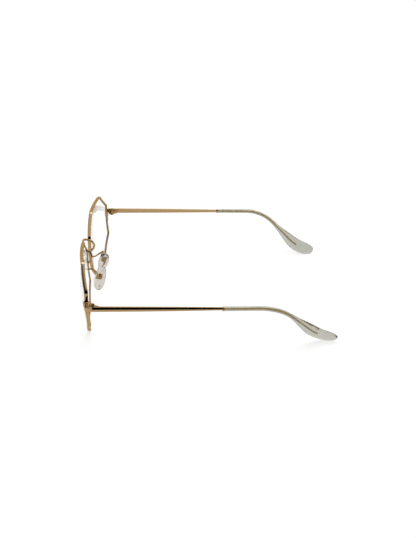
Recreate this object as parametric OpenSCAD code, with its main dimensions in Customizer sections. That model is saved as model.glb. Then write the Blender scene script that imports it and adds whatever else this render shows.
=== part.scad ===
// Octagonal wire eyeglasses, opened, standing on their rims and on the ends of the temples.
// X points to the wearer's left, Y from the front to the ears, Z up. All sizes in millimetres.
// Every module for a paired piece draws the wearer's left one; the right one is its mirror image.

/* [Lenses] */
// Width of the octagon, between the centre lines of the rim's upright sides
lens_w = 54; // [50:0.5:58]
// Height of the octagon, between the centre lines of the rim's level sides
lens_h = 42; // [38:0.5:46]
// Length of the octagon's level edges, at top and bottom
level_edge = 26.6; // [22:0.2:32]
// Length of the octagon's upright edges, at both sides
upright_edge = 19.8; // [15:0.2:24]
// Radius of the octagon's corners, on the rim's centre line
corner_r = 2.4; // [2:0.1:4]
// Thickness of a lens
lens_t = 1.4; // [1.2:0.1:1.5]
// Radius of the ball to which lenses and rims are bent
base_r = 124; // [90:1:250]
// Turn of each lens towards the temples, degrees
lens_wrap = 5.6; // [3:0.1:8]
// Lean of the lenses' tops to the front, degrees
lens_tilt = 2.9; // [0:0.1:6]

/* [Rims] */
// Thickness of the rim wire, seen from the front
rim_t = 1.1; // [1:0.05:1.5]
// Depth of the rim wire, front to back
rim_d = 2; // [1.7:0.1:2.2]
// Width of the groove that holds the lens
groove_w = 0.8; // [0.6:0.05:1]
// Depth of the groove
groove_depth = 0.5; // [0.3:0.05:0.6]
// Gap between lens and rim
lens_gap = 0.04; // [0.02:0.01:0.1]
// Gap where the rim is split for the lens
split_gap = 0.3; // [0.2:0.05:0.6]

/* [Rim locks] */
// Height of the split below the end piece's middle
lock_drop = 3.4; // [3.3:0.1:4.5]
// Height of the two halves of a lock together with the split
lock_h = 3.2; // [2.6:0.1:3.4]
// Width of a lock, away from the rim
lock_w = 1.9; // [1.8:0.1:2.6]
// Depth of a lock, front to back
lock_d = 2; // [1.7:0.1:2.2]
// Radius of the lock screw's shank
lock_screw_r = 0.5; // [0.4:0.05:0.6]

/* [Bridge] */
// Distance between the two rims' centre lines at the nose
bridge_w = 17.9; // [15:0.1:22]
// Diameter of the bridge wire
bridge_d = 1.3; // [1:0.05:1.5]
// Height of the bridge's middle above the lenses' middle
bridge_rise = 12.3; // [10:0.1:15]
// How far the bridge's middle stands in front of the lenses
bridge_bow = 2.5; // [0:0.1:5]
// Height above the lenses' middle at which the arch leaves the rim
arch_foot = 9.6; // [7:0.1:11]
// Height above the lenses' middle at which the loop's lower end meets the rim
loop_foot = 2.4; // [0:0.1:3]
// How far the loop stands behind the rim
loop_back = 1.5; // [1.4:0.1:3]

/* [Nose pads] */
// Height of a nose pad
pad_h = 14.5; // [12:0.5:16]
// Width of a nose pad
pad_w = 6.6; // [6:0.2:8]
// Thickness of a nose pad
pad_t = 2.3; // [1.8:0.1:2.8]
// Place of a pad's middle: to the side of the nose
pad_x = 11.4; // [10.4:0.1:13]
// Place of a pad's middle: behind the middle of the lenses
pad_y = 8; // [7:0.1:10]
// Place of a pad's middle: below the middle of the lenses
pad_drop = 6.6; // [4:0.1:8]
// Lean of the pads' tops towards each other, degrees
pad_lean = 20; // [12:1:28]
// Lean of the pads' tops to the back, degrees
pad_pitch = 9; // [0:1:15]
// Turn of the pads' front edges towards each other, degrees
pad_splay = 12; // [5:1:25]
// How far a pad rocks each way, degrees
pad_rock = 8; // [4:1:10]
// Height of the pad's metal box above the pad's middle
box_rise = 1.3; // [-1:0.1:2]
// Diameter of the wire of a pad arm
pad_arm_d = 1; // [0.8:0.05:1.2]
// Height of a pad arm's foot below the middle of the lenses
pad_arm_drop = 2.2; // [1:0.1:4]

/* [Pad boxes] */
// Height of a pad box
box_h = 2.8; // [2.4:0.1:3.4]
// Wall of a pad box
box_wall = 0.6; // [0.5:0.05:0.8]
// Thickness of the tab that sits in the box
tab_t = 1.3; // [1:0.1:1.6]
// Gap at each side of the tab
tab_gap = 0.15; // [0.1:0.01:0.2]
// Thickness of the metal plate on the back of a pad
plate_t = 0.4; // [0.3:0.05:0.6]
// Height and width of that plate
plate_size = [5, 3];
// Distance of the pad screw's axis from the plate
axis_back = 1.3; // [1.2:0.05:1.6]
// Radius of the tab's round end
tab_r = 0.9; // [0.8:0.05:1.1]
// Radius of the pad screw's shank
pad_screw_r = 0.45; // [0.35:0.05:0.5]

/* [End pieces] */
// Distance between the middles of the two temple arms at the hinges
temple_span = 138.5; // [132:0.5:146]
// Height of the strip of an end piece
strip_h = 2.9; // [2.4:0.1:3]
// Thickness of the strip of an end piece
strip_t = 1.4; // [1.2:0.05:1.7]
// Radius of the strip's corner, on its middle line
strip_corner_r = 1.7; // [1.2:0.1:1.8]
// Radius of the round block with which the strip is soldered to the rim
block_r = 1.7; // [1.3:0.1:2]
// Height of that block
block_h = 3; // [2.6:0.1:3]
// Height of the hinges above the lenses' middle
hinge_rise = 3.6; // [3.4:0.1:5]
// Distance of the hinge axis behind the end piece's front arm
hinge_back = 3.7; // [3.6:0.1:6]

/* [Hinges] */
// Height of a hinge with its three knuckles
hinge_h = 3.6; // [3.2:0.1:4.4]
// Height of the middle knuckle
mid_knuckle_h = 1.2; // [1:0.1:1.6]
// Outer radius of the knuckles
knuckle_r = 1.25; // [1.15:0.05:1.5]
// Gap between moving faces of a hinge
hinge_gap = 0.1; // [0.06:0.01:0.15]
// Radius of the hinge screw's shank
hinge_screw_r = 0.6; // [0.5:0.05:0.65]
// Running clearance of a screw's shank in what turns on it
run_gap = 0.06; // [0.03:0.01:0.09]
// Length of the plate by which the middle knuckle is held
leaf_len = 2.4; // [2:0.1:3.6]
// Height of the plates that hold the knuckles
leaf_h = 3; // [2.6:0.1:3.2]
// Thickness of those plates
leaf_t = 0.9; // [0.6:0.05:1]

/* [Temples] */
// Length of a temple along its middle line, from hinge to end
temple_len = 143; // [138:1:150]
// Height of the arm at the hinge
arm_h = 3; // [2.4:0.05:3.2]
// Thickness of the arm at the hinge
arm_t = 1.6; // [1.4:0.05:1.7]
// Height of the arm where it enters the tip
arm_end_h = 1.7; // [1.4:0.05:1.9]
// Thickness of the arm where it enters the tip
arm_end_t = 1.2; // [1:0.05:1.4]
// Distance from the hinge at which the bend behind the ear begins
ear_start = 89.5; // [85:0.5:95]
// Length of the arc of that bend
ear_arc = 20; // [15:0.5:24]
// Slope of the temple behind the ear, degrees
ear_drop = 40; // [34:1:46]
// Turn of the temple towards the head behind the ear, degrees
ear_turn = 21.5; // [10:0.5:26]
// Length of the straight stretch behind the ear
ear_straight = 15.5; // [10:0.5:18]
// Slope of the temple at its very end, degrees
end_drop = 5; // [0:1:20]
// Turn of the temple away from the head at its very end, degrees
end_turn = 6; // [0:1:10]
// Turn of the arm towards the head where the bend begins, degrees
arm_turn = 1; // [0:0.1:2]
// Rise of the arm from the hinge to the bend, degrees
arm_rise = 0.6; // [0:0.1:1.5]

/* [Temple tips] */
// Distance from the hinge at which the collar and tip begin
tip_start = 69.5; // [63:0.5:75]
// Length of the collar
collar_len = 1.2; // [1:0.1:2]
// Outer radius of the collar
collar_r = 1.35; // [1.3:0.05:1.6]
// Diameter of the tip where it is a tube
tip_d = 2.5; // [2.3:0.05:3]
// Width of the tip's flat end
paddle_w = 8.1; // [6:0.1:8.6]
// Thickness of the tip's flat end
paddle_t = 2.4; // [2.2:0.1:2.8]
// Length of the widening flat end
paddle_len = 36; // [32:0.5:42]
// Distance from the tip's end at which the flat end is widest
paddle_full = 10; // [9:0.5:11]
// Length of the rounding at the tip's end
paddle_round = 8; // [6:0.5:9]
// How far the tip's round end is drawn to its upper edge, as a share
paddle_sweep = 0.15; // [0:0.05:0.6]
// Lean of the flat end's upper edge away from the head, degrees
paddle_lean = 25; // [10:1:28]
// Height and thickness of the metal core inside the tip
core_size = [1.05, 0.85];
// Distance from the tip's end at which the core stops
core_short = 12; // [10:0.5:16]
// Gap between the core and the tip around it
core_gap = 0.08; // [0.05:0.01:0.12]

/* [Screws] */
// Height of the heads of all screws
head_h = 0.4; // [0.3:0.05:0.5]
// How far a screw head stands over its shank
head_lip = 0.35; // [0.25:0.05:0.4]
// Width of the slot in a screw head
slot_w = 0.25; // [0.2:0.01:0.3]
// Depth of that slot
slot_depth = 0.2; // [0.15:0.01:0.25]
// Clearance of a screw's shank in what it is screwed into
thread_gap = 0.02; // [0.01:0.01:0.03]

/* [Hidden] */

GOLD = "#b08a4c";
GOLD_SHADE = "#8c6a36";
CLEAR = [0.86, 0.9, 0.88, 0.5];

// Fineness of round pieces and of the large ball
$fn = 48;
BALL_FN = 240;
// Sides of a wire, of a temple tip, and corners of a nose pad's outline
WIRE_SIDES = 10;
TIP_SIDES = 14;
PAD_CORNERS = 24;
// Flats that round a corner of the octagon
CORNER_STEPS = 4;
// Steps from point to point of a bent wire
PATH_STEPS = 4;
// Length of the straight foot with which a wire meets the rim or a box
FOOT = 0.35;
// The loop's points after its foot: how far to the side, share of its depth, share of its height
LOOP_POINTS = [[0.1, 0.6, 0.15], [0.4, 1, 0.5]];
// Size of the loop's upper bend
LOOP_BEND = 0.9;
// The arch's points from rim to middle: shares of the way to the side, of the bow and of the rise
ARCH_POINTS = [[0.72, 0.55, 0.5], [0.36, 0.9, 0.9]];
// Points of a pad arm from its foot on the rim, and from its box: behind it and above its middle
ARM_FROM_RIM = [[0.1, 1.2, 0.1], [2.6, 3.1, 0.3]];
ARM_FROM_BOX = [[1.5, 1.6], [1.1, 0.3]];
// Rounding of a pad across its thickness: place between its faces and share of the outline
PAD_ROUNDING = [[1, 0.86], [0.7, 0.97], [0.1, 1], [-0.4, 0.93], [-0.8, 0.72], [-1, 0.4]];
// Power of the ovals of pads and tips: 2 is an ellipse, more is fuller at the corners
FULLNESS = 2.3;
// Step along a temple's middle line
STEP = 0.5;
// Distances between the rings of the arm, of the tip's straight part and of its bent part
ARM_RING = 5.5;
TIP_RING = 4;
BEND_RING = 2;
// Rings of a tip's round end
END_RINGS = 7;
// Smallest share of the width left at a tip's round end
END_SHARE = 0.02;
// Depth of cuts that run past the piece they cut
PAST = 1;
// Seam between pieces that are soldered or pushed together
SEAM = 0.02;

// Half sizes of the octagon
half_w = lens_w / 2;
half_h = lens_h / 2;

// Distance of the bent lens surface behind the plane that touches its middle
function sag(u, v) = base_r - sqrt(base_r * base_r - u * u - v * v);

// Middle of a lens: the rims' lowest points stand at height 0
lens_x = bridge_w / 2 + half_w * cos(lens_wrap);
rim_bottom = half_h + rim_t / 2;
lens_z = rim_bottom * cos(lens_tilt) - (sag(0, rim_bottom) - rim_d / 2) * sin(lens_tilt);

// From the lens's own frame (outwards, backwards, up) to the frame of the glasses
function from_lens(p) =
    let (y = p[1] * cos(lens_tilt) - p[2] * sin(lens_tilt), z = p[1] * sin(lens_tilt) + p[2] * cos(lens_tilt))
    [lens_x + p[0] * cos(lens_wrap) - y * sin(lens_wrap),
        p[0] * sin(lens_wrap) + y * cos(lens_wrap), lens_z + z];

module at_lens() {
    translate([lens_x, 0, lens_z]) rotate([lens_tilt, 0, lens_wrap]) children();
}

// Place of the hinge
arm_x = temple_span / 2;
hinge_z = lens_z + hinge_rise;
strip_y = from_lens([half_w, sag(half_w, hinge_rise), hinge_rise])[1];
block_x = from_lens([half_w + rim_t / 2, 0, hinge_rise])[0];
seam_y = strip_y + hinge_back;
strip_side = max(strip_t, arm_t) / 2;
hinge_x = arm_x - strip_side - hinge_gap - knuckle_r;

// Small helpers for vectors and lists
function unit(v) = v / norm(v);
function clip(t) = min(1, max(0, t));
function eased(t) = let (c = clip(t)) c * c * (3 - 2 * c);
function flat(lists) = [for (one = lists) each one];
function mirrored(p) = [-p[0], p[1], p[2]];
function flipped(list) = [for (i = [len(list) - 1 : -1 : 0]) list[i]];

// Outline of the octagon, grown outwards by a distance, with round corners
corners = [[half_w, upright_edge / 2], [level_edge / 2, half_h],
    [-level_edge / 2, half_h], [-half_w, upright_edge / 2],
    [-half_w, -upright_edge / 2], [-level_edge / 2, -half_h],
    [level_edge / 2, -half_h], [half_w, -upright_edge / 2]];
function edge_normal(i) =
    let (along = unit(corners[(i + 1) % 8] - corners[i % 8])) [along[1], -along[0]];
function corner_centre(i) =
    let (a = edge_normal(i + 7), b = edge_normal(i)) corners[i] - corner_r * (a + b) / (1 + a * b);

module octagon(grow) {
    r = corner_r + grow;
    polygon([for (i = [0 : 7], k = [0 : CORNER_STEPS])
        corner_centre(i) + r * unit(edge_normal(i + 7) * (CORNER_STEPS - k) + edge_normal(i) * k)]);
}

// Octagonal piece of a bent shell, in the lens's frame
module octagon_bar(grow) {
    rotate([90, 0, 0]) linear_extrude(height = half_w, center = true) octagon(grow);
}

module ball(r) {
    translate([0, base_r, 0]) sphere(r, $fn = BALL_FN);
}

module bent_octagon(grow, depth) {
    difference() {
        intersection() {
            ball(base_r + depth / 2);
            octagon_bar(grow);
        }
        ball(base_r - depth / 2);
    }
}

// Smooth curve through hand-picked points
function between(a, b, c, d, t) =
    0.5 * (2 * b + (c - a) * t + (2 * a - 5 * b + 4 * c - d) * t * t + (3 * b - a - 3 * c + d) * t * t * t);
function smooth(points, steps) =
    let (n = len(points))
    [for (i = [0 : n - 2], k = [0 : steps - 1])
        between(i > 0 ? points[i - 1] : 2 * points[0] - points[1], points[i], points[i + 1],
            i < n - 2 ? points[i + 2] : 2 * points[n - 1] - points[n - 2], k / steps),
     points[n - 1]];

// Faces of a skin of n rings with m points each, first point index given, seen from outside or inside
function skin(n, m, first, inside) =
    [for (i = [0 : n - 2], j = [0 : m - 1])
        let (a = first + i * m + j, b = first + i * m + (j + 1) % m, c = a + m, d = b + m)
        each inside ? [[a, d, b], [a, c, d]] : [[a, b, d], [a, d, c]]];
function cap(m, first, at_end) =
    at_end ? [for (j = [0 : m - 1]) first + j] : [for (j = [m - 1 : -1 : 0]) first + j];

// Closed solid through rings of points
module skinned(rings) {
    n = len(rings);
    m = len(rings[0]);
    polyhedron(flat(rings), concat(skin(n, m, 0, false), [cap(m, 0, false), cap(m, (n - 1) * m, true)]));
}

// The same with a blind hole: its rings start level with the first ring
module skinned_sleeve(rings, hole) {
    n = len(rings);
    m = len(rings[0]);
    first = n * m;
    mouth = [for (j = [0 : m - 1]) let (k = (j + 1) % m) each [[j, first + j, first + k], [j, first + k, k]]];
    polyhedron(concat(flat(rings), flat(hole)),
        concat(skin(n, m, 0, false), [cap(m, (n - 1) * m, true)], mouth,
            skin(len(hole), m, first, true), [flipped(cap(m, first + (len(hole) - 1) * m, true))]));
}

// Oval ring of points about a centre; side and up are its axes
function oval(centre, side, up, half_side, half_up, m, power = 2) =
    [for (j = [0 : m - 1])
        let (a = 360 * j / m, c = cos(a), s = sin(a))
        centre + side * half_side * sign(c) * pow(abs(c), 2 / power)
            + up * half_up * sign(s) * pow(abs(s), 2 / power)];

// Round wire along a path
module wire(path, d) {
    n = len(path);
    along = [for (i = [0 : n - 1]) unit(path[min(i + 1, n - 1)] - path[max(i - 1, 0)])];
    side = [for (i = 0, s = unit(cross(along[0], [0.3, 0.2, 1])); i < n;
        i = i + 1, s = i < n ? unit(s - (s * along[i]) * along[i]) : s) s];
    skinned([for (i = [0 : n - 1])
        oval(path[i], side[i], cross(side[i], along[i]), d / 2, d / 2, WIRE_SIDES)]);
}

// Slotted screw along Z: shank from 0 down, head above
module screw(shank_r, length) {
    translate([0, 0, -length]) cylinder(r = shank_r, h = length);
    difference() {
        cylinder(r = shank_r + head_lip, h = head_h);
        translate([0, 0, head_h]) cube([3 * shank_r + 2 * head_lip, slot_w, 2 * slot_depth], center = true);
    }
}

// Rims and lenses
lock_v = hinge_rise - lock_drop;
lock_u = half_w + rim_t / 2 + lock_w / 2;
lock_y = sag(half_w, lock_v);

module rim() {
    color(GOLD) at_lens() difference() {
        bent_octagon(rim_t / 2, rim_d);
        octagon_bar(-rim_t / 2);
        bent_octagon(groove_depth - rim_t / 2, groove_w);
        translate([half_w, lock_y, lock_v]) cube([2 * rim_t, 2 * rim_d, split_gap], center = true);
    }
}

module lens() {
    color(CLEAR) at_lens() {
        bent_octagon(-rim_t / 2 - lens_gap, lens_t);
        bent_octagon(groove_depth - rim_t / 2 - lens_gap, groove_w - 2 * lens_gap);
    }
}

module rim_lock() {
    color(GOLD) at_lens() translate([lock_u, lock_y, lock_v]) difference() {
        cube([lock_w, lock_d, lock_h], center = true);
        cube([2 * lock_w, 2 * lock_d, split_gap], center = true);
        cylinder(r = lock_screw_r + thread_gap, h = 2 * lock_h, center = true);
    }
}

module lock_screw() {
    color(GOLD_SHADE) at_lens() translate([lock_u, lock_y, lock_v - lock_h / 2])
        rotate([180, 0, 0]) screw(lock_screw_r, lock_h);
}

// Bridge: an arch with a loop at each foot, of one wire
function rim_normal(u, v) = unit([-u, base_r - sag(u, v), -v]);
function behind_rim(u, v, more) = from_lens([u, sag(u, v), v] + (rim_d / 2 + more) * rim_normal(u, v));
beside_rim_x = from_lens([-half_w - rim_t / 2, sag(half_w, arch_foot) + rim_d / 2, arch_foot])[0]
    - bridge_d / 2 - 2 * SEAM;

half_bridge =
    let (foot = behind_rim(-half_w, loop_foot, FOOT), top = from_lens([-half_w, sag(half_w, 0), arch_foot]))
    concat([foot],
        [for (p = LOOP_POINTS) foot + [-p[0], p[1] * loop_back, p[2] * (arch_foot - loop_foot)]],
        [[beside_rim_x, top[1] + rim_d / 2 + LOOP_BEND, top[2] - LOOP_BEND],
         [beside_rim_x, top[1], top[2]]],
        [for (p = ARCH_POINTS)
            [p[0] * beside_rim_x, -p[1] * bridge_bow, lens_z + arch_foot + p[2] * (bridge_rise - arch_foot)]],
        [[0, -bridge_bow, lens_z + bridge_rise]]);
bridge_path = let (foot = behind_rim(-half_w, loop_foot, SEAM))
    concat([foot],
        smooth(concat(half_bridge, [for (i = [len(half_bridge) - 2 : -1 : 0]) mirrored(half_bridge[i])]),
            PATH_STEPS),
        [mirrored(foot)]);

module bridge() {
    color(GOLD_SHADE) wire(bridge_path, bridge_d);
}

// Nose pads: outwards is X, the screw's axis is Y and up is Z in the pad's frame
pad_place = [pad_x, pad_y, lens_z - pad_drop];
tab_axis = pad_t / 2 + plate_t + axis_back;
box_front = tab_axis - tab_r;
box_back = tab_axis + tab_r + tab_gap + box_wall;
box_half_w = tab_t / 2 + tab_gap + box_wall;

function from_pad(p) =
    let (y = p[1] * cos(pad_pitch) + p[2] * sin(pad_pitch),
        up = p[2] * cos(pad_pitch) - p[1] * sin(pad_pitch),
        x = p[0] * cos(pad_lean) - up * sin(pad_lean), z = p[0] * sin(pad_lean) + up * cos(pad_lean))
    pad_place + [x * cos(pad_splay) + y * sin(pad_splay), -x * sin(pad_splay) + y * cos(pad_splay), z];

module at_pad() {
    translate(pad_place) rotate([-pad_pitch, -pad_lean, -pad_splay]) children();
}

module nose_pad() {
    color(CLEAR) at_pad() skinned([for (level = PAD_ROUNDING)
        oval([level[0] * pad_t / 2, 0, 0], [0, 1, 0], [0, 0, 1],
            pad_w / 2 * level[1], pad_h / 2 * level[1], PAD_CORNERS, FULLNESS)]);
}

module pad_plate() {
    straight = plate_size[0] - plate_size[1];
    color(GOLD) at_pad() translate([0, 0, box_rise]) difference() {
        union() {
            translate([pad_t / 2, 0, 0]) rotate([0, 90, 0]) linear_extrude(height = plate_t) {
                square([straight, plate_size[1]], center = true);
                for (end = [-1, 1]) translate([end * straight / 2, 0]) circle(plate_size[1] / 2);
            }
            translate([pad_t / 2 + plate_t / 2, -tab_t / 2, -tab_r])
                cube([plate_t / 2 + axis_back, tab_t, 2 * tab_r]);
            translate([tab_axis, 0, 0]) rotate([90, 0, 0]) cylinder(r = tab_r, h = tab_t, center = true);
        }
        translate([tab_axis, 0, 0]) rotate([90, 0, 0])
            cylinder(r = pad_screw_r + run_gap, h = tab_t + PAST, center = true);
    }
}

module pad_box() {
    color(GOLD) at_pad() translate([0, 0, box_rise]) difference() {
        translate([box_front, -box_half_w, -box_h / 2]) cube([box_back - box_front, 2 * box_half_w, box_h]);
        translate([box_front - PAST, box_wall - box_half_w, -box_h])
            cube([box_back - box_wall - box_front + PAST, 2 * (box_half_w - box_wall), 2 * box_h]);
        translate([tab_axis, 0, 0]) rotate([90, 0, 0])
            cylinder(r = pad_screw_r + thread_gap, h = 2 * box_half_w + PAST, center = true);
    }
}

module pad_screw() {
    color(GOLD_SHADE) at_pad() translate([tab_axis, box_half_w, box_rise])
        rotate([-90, 0, 0]) screw(pad_screw_r, 2 * box_half_w);
}

pad_arm_path = let (foot = behind_rim(-half_w, -pad_arm_drop, FOOT))
    concat([behind_rim(-half_w, -pad_arm_drop, SEAM)],
        smooth(concat([foot], [for (p = ARM_FROM_RIM) foot + p],
            [for (p = ARM_FROM_BOX) from_pad([box_back + p[0], 0, box_rise + p[1]])],
            [from_pad([box_back + FOOT, 0, box_rise])]), PATH_STEPS),
        [from_pad([box_back + SEAM, 0, box_rise])]);

module pad_arm() {
    color(GOLD) wire(pad_arm_path, pad_arm_d);
}

// End pieces and hinges
module end_piece() {
    bend = [arm_x - strip_corner_r, strip_y + strip_corner_r];
    color(GOLD) difference() {
        union() {
            translate([0, 0, hinge_z - strip_h / 2]) linear_extrude(height = strip_h) {
                translate([lens_x, strip_y - strip_t / 2]) square([bend[0] - lens_x, strip_t]);
                translate([arm_x - strip_t / 2, bend[1]]) square([strip_t, seam_y - bend[1]]);
                intersection() {
                    translate(bend) difference() {
                        circle(strip_corner_r + strip_t / 2);
                        circle(strip_corner_r - strip_t / 2);
                    }
                    translate([bend[0], bend[1] - 2 * strip_corner_r - strip_t])
                        square(2 * strip_corner_r + strip_t);
                }
            }
            translate([block_x, strip_y, hinge_z - block_h / 2]) cylinder(r = block_r, h = block_h);
        }
        at_lens() translate([-half_w, -half_w, -half_h])
            cube([2 * half_w + rim_t / 2, 2 * half_w, 2 * half_h]);
    }
}

end_knuckle_h = (hinge_h - mid_knuckle_h) / 2 - hinge_gap;
leaf_gap = knuckle_r + 2 * hinge_gap;
front_leaf_len = hinge_back - leaf_gap - strip_corner_r;

module at_hinge() {
    translate([hinge_x, seam_y, hinge_z]) children();
}

// Knuckle with the web that holds it; way is -1 to the front and 1 to the back
module knuckle(bottom, height, bore_r, face, way) {
    translate([0, 0, bottom]) difference() {
        union() {
            cylinder(r = knuckle_r, h = height);
            translate([0, way > 0 ? 0 : -leaf_gap - PAST / 2, 0]) cube([face, leaf_gap + PAST / 2, height]);
        }
        translate([0, 0, -PAST]) cylinder(r = bore_r, h = height + 2 * PAST);
    }
}

module leaf(face, from, length) {
    translate([face - leaf_t, from, -leaf_h / 2]) cube([leaf_t, length, leaf_h]);
}

module front_hinge() {
    face = arm_x - strip_t / 2 - hinge_x;
    color(GOLD_SHADE) at_hinge() {
        knuckle(hinge_h / 2 - end_knuckle_h, end_knuckle_h, hinge_screw_r + thread_gap, face, -1);
        knuckle(-hinge_h / 2, end_knuckle_h, hinge_screw_r + thread_gap, face, -1);
        leaf(face, -leaf_gap - front_leaf_len, front_leaf_len);
    }
}

module temple_hinge() {
    face = arm_x - arm_t / 2 - hinge_x;
    color(GOLD_SHADE) at_hinge() {
        knuckle(-mid_knuckle_h / 2, mid_knuckle_h, hinge_screw_r + run_gap, face, 1);
        leaf(face, leaf_gap, leaf_len);
    }
}

module hinge_screw() {
    color(GOLD) at_hinge() translate([0, 0, hinge_h / 2]) screw(hinge_screw_r, hinge_h);
}

// Temple: slope and turn along its middle line, as functions of the distance from the hinge
ear_full = ear_start + ear_arc;
ear_end = ear_full + ear_straight;
function slope(s) = lookup(s, [[ear_start, -arm_rise], [ear_full, ear_drop], [ear_end, ear_drop],
    [temple_len, end_drop]]);
function turn(s) = lookup(s, [[0, 0], [ear_start, arm_turn], [ear_full, ear_turn], [ear_end, ear_turn],
    [temple_len, -end_turn]]);
function heading(s) = [-sin(turn(s)) * cos(slope(s)), cos(turn(s)) * cos(slope(s)), -sin(slope(s))];
function across(s) = [cos(turn(s)), sin(turn(s)), 0];
function upwards(s) = cross(across(s), heading(s));

// Points of the middle line at even steps, before the drop is fitted to the ground
steps = floor(temple_len / STEP);
free_line = [for (i = 0, p = [arm_x, seam_y + hinge_gap, 0]; i <= steps;
    i = i + 1, p = p + STEP * heading((i - 0.5) * STEP)) p];
function on_free_line(s) =
    let (i = min(steps - 1, floor(s / STEP)), t = s / STEP - i) free_line[i] * (1 - t) + free_line[i + 1] * t;

// Half width and half thickness of the tip, its lean, and how far it reaches below its middle
function tip_end_share(s) =
    let (t = clip((s - temple_len + paddle_round) / paddle_round)) sqrt(max(END_SHARE, 1 - t * t));
function widening(s) = eased((s - temple_len + paddle_len) / (paddle_len - paddle_full));
function tip_full_half_w(s) = (tip_d + (paddle_w - tip_d) * widening(s)) / 2;
function tip_half_w(s) = tip_full_half_w(s) * tip_end_share(s);
function tip_half_t(s) = (tip_d + (paddle_t - tip_d) * widening(s)) / 2 * sqrt(tip_end_share(s));
function lean(s) = paddle_lean * widening(s);
function tip_up(s) = cos(lean(s)) * upwards(s) + sin(lean(s)) * across(s);
function tip_side(s) = cos(lean(s)) * across(s) - sin(lean(s)) * upwards(s);
function tip_ring_free(s, centre) =
    oval(centre + paddle_sweep * (tip_full_half_w(s) - tip_half_w(s)) * tip_up(s), tip_side(s), tip_up(s),
        tip_half_t(s), tip_half_w(s), TIP_SIDES, FULLNESS);
function reach_down(s) = -min([for (p = tip_ring_free(s, [0, 0, 0])) p[2]]);

// Stations of the tip: close together where it widens and at its round end
tip_from = tip_start + collar_len + SEAM;
tip_stations = [for (s = [tip_from : TIP_RING : ear_start]) s,
    for (s = [ear_start + BEND_RING : BEND_RING : temple_len - paddle_round]) s,
    for (k = [1 : END_RINGS]) temple_len - paddle_round * (1 - sin(90 * k / END_RINGS))];

// The drop is stretched a little so that the tips' lowest points stand at height 0
drop_fit = min([for (s = tip_stations) if (s > ear_end) (hinge_z - reach_down(s)) / -on_free_line(s)[2]]);
function on_line(s) = let (p = on_free_line(s)) [p[0], p[1], hinge_z + p[2] * drop_fit];

core_from = tip_start - STEP;
core_to = temple_len - core_short;
function arm_ring(s) =
    let (t = s / core_from)
    oval(on_line(s), across(s), upwards(s), (arm_t + (arm_end_t - arm_t) * t) / 2,
        (arm_h + (arm_end_h - arm_h) * t) / 2, TIP_SIDES);
function core_ring(s, more) =
    oval(on_line(s), across(s), upwards(s), core_size[1] / 2 + more, core_size[0] / 2 + more, TIP_SIDES);

module temple_arm() {
    color(GOLD) skinned(concat(
        [for (s = [0 : ARM_RING : core_from]) arm_ring(s)],
        [core_ring(tip_start, 0)],
        [for (s = tip_stations) if (s > tip_start && s < core_to - PAST) core_ring(s, 0)],
        [core_ring(core_to, 0)]));
}

module temple_tip() {
    color(CLEAR) skinned_sleeve(
        [for (s = tip_stations) tip_ring_free(s, on_line(s))],
        concat([core_ring(tip_from, core_gap)],
            [for (s = tip_stations) if (s > tip_from && s < core_to - PAST) core_ring(s, core_gap)],
            [core_ring(core_to + core_gap, core_gap)]));
}

module tip_collar() {
    middle = tip_start + collar_len / 2;
    color(GOLD) translate(on_line(middle)) rotate([90, 0, turn(middle)]) difference() {
        cylinder(r = collar_r, h = collar_len, center = true);
        cylinder(r = max(core_size) / 2 + core_gap, h = collar_len + PAST, center = true);
    }
}

// The glasses stand with the middle of their length at Y = 0
front_y = min([for (p = bridge_path) p[1]]) - bridge_d / 2;
back_y = max([for (s = tip_stations, p = tip_ring_free(s, on_line(s))) p[1]]);

module left() {
    translate([0, -(front_y + back_y) / 2, 0]) children();
}

module right() {
    mirror([1, 0, 0]) left() children();
}

left() rim();  // left_rim
right() rim();  // right_rim
left() lens();  // left_lens
right() lens();  // right_lens
left() rim_lock();  // left_rim_lock
right() rim_lock();  // right_rim_lock
left() lock_screw();  // left_lock_screw
right() lock_screw();  // right_lock_screw
left() bridge();
left() pad_arm();  // left_pad_arm
right() pad_arm();  // right_pad_arm
left() pad_box();  // left_pad_box
right() pad_box();  // right_pad_box
left() pad_screw();  // left_pad_screw
right() pad_screw();  // right_pad_screw
left() nose_pad();  // left_nose_pad
right() nose_pad();  // right_nose_pad
left() pad_plate();  // left_pad_plate
right() pad_plate();  // right_pad_plate
left() end_piece();  // left_end_piece
right() end_piece();  // right_end_piece
left() front_hinge();  // left_front_hinge
right() front_hinge();  // right_front_hinge
left() hinge_screw();  // left_hinge_screw
right() hinge_screw();  // right_hinge_screw
left() temple_hinge();  // left_temple_hinge
right() temple_hinge();  // right_temple_hinge
left() temple_arm();  // left_temple_arm
right() temple_arm();  // right_temple_arm
left() tip_collar();  // left_tip_collar
right() tip_collar();  // right_tip_collar
left() temple_tip();  // left_temple_tip
right() temple_tip();  // right_temple_tip
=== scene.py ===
"""Octagonal wire eyeglasses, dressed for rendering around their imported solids.

The frame of the glasses holds everywhere: X to the wearer's left, Y from the lenses to the ears, Z up.
Sizes in the classes are in millimetres and repeat those of the solids; Blender's meshes are in metres.
"""

import logging
import math
from dataclasses import dataclass, field
from enum import Enum
from typing import Any, Callable, Optional, Sequence

import bmesh
import bpy
from mathutils import Matrix, Vector


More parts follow.
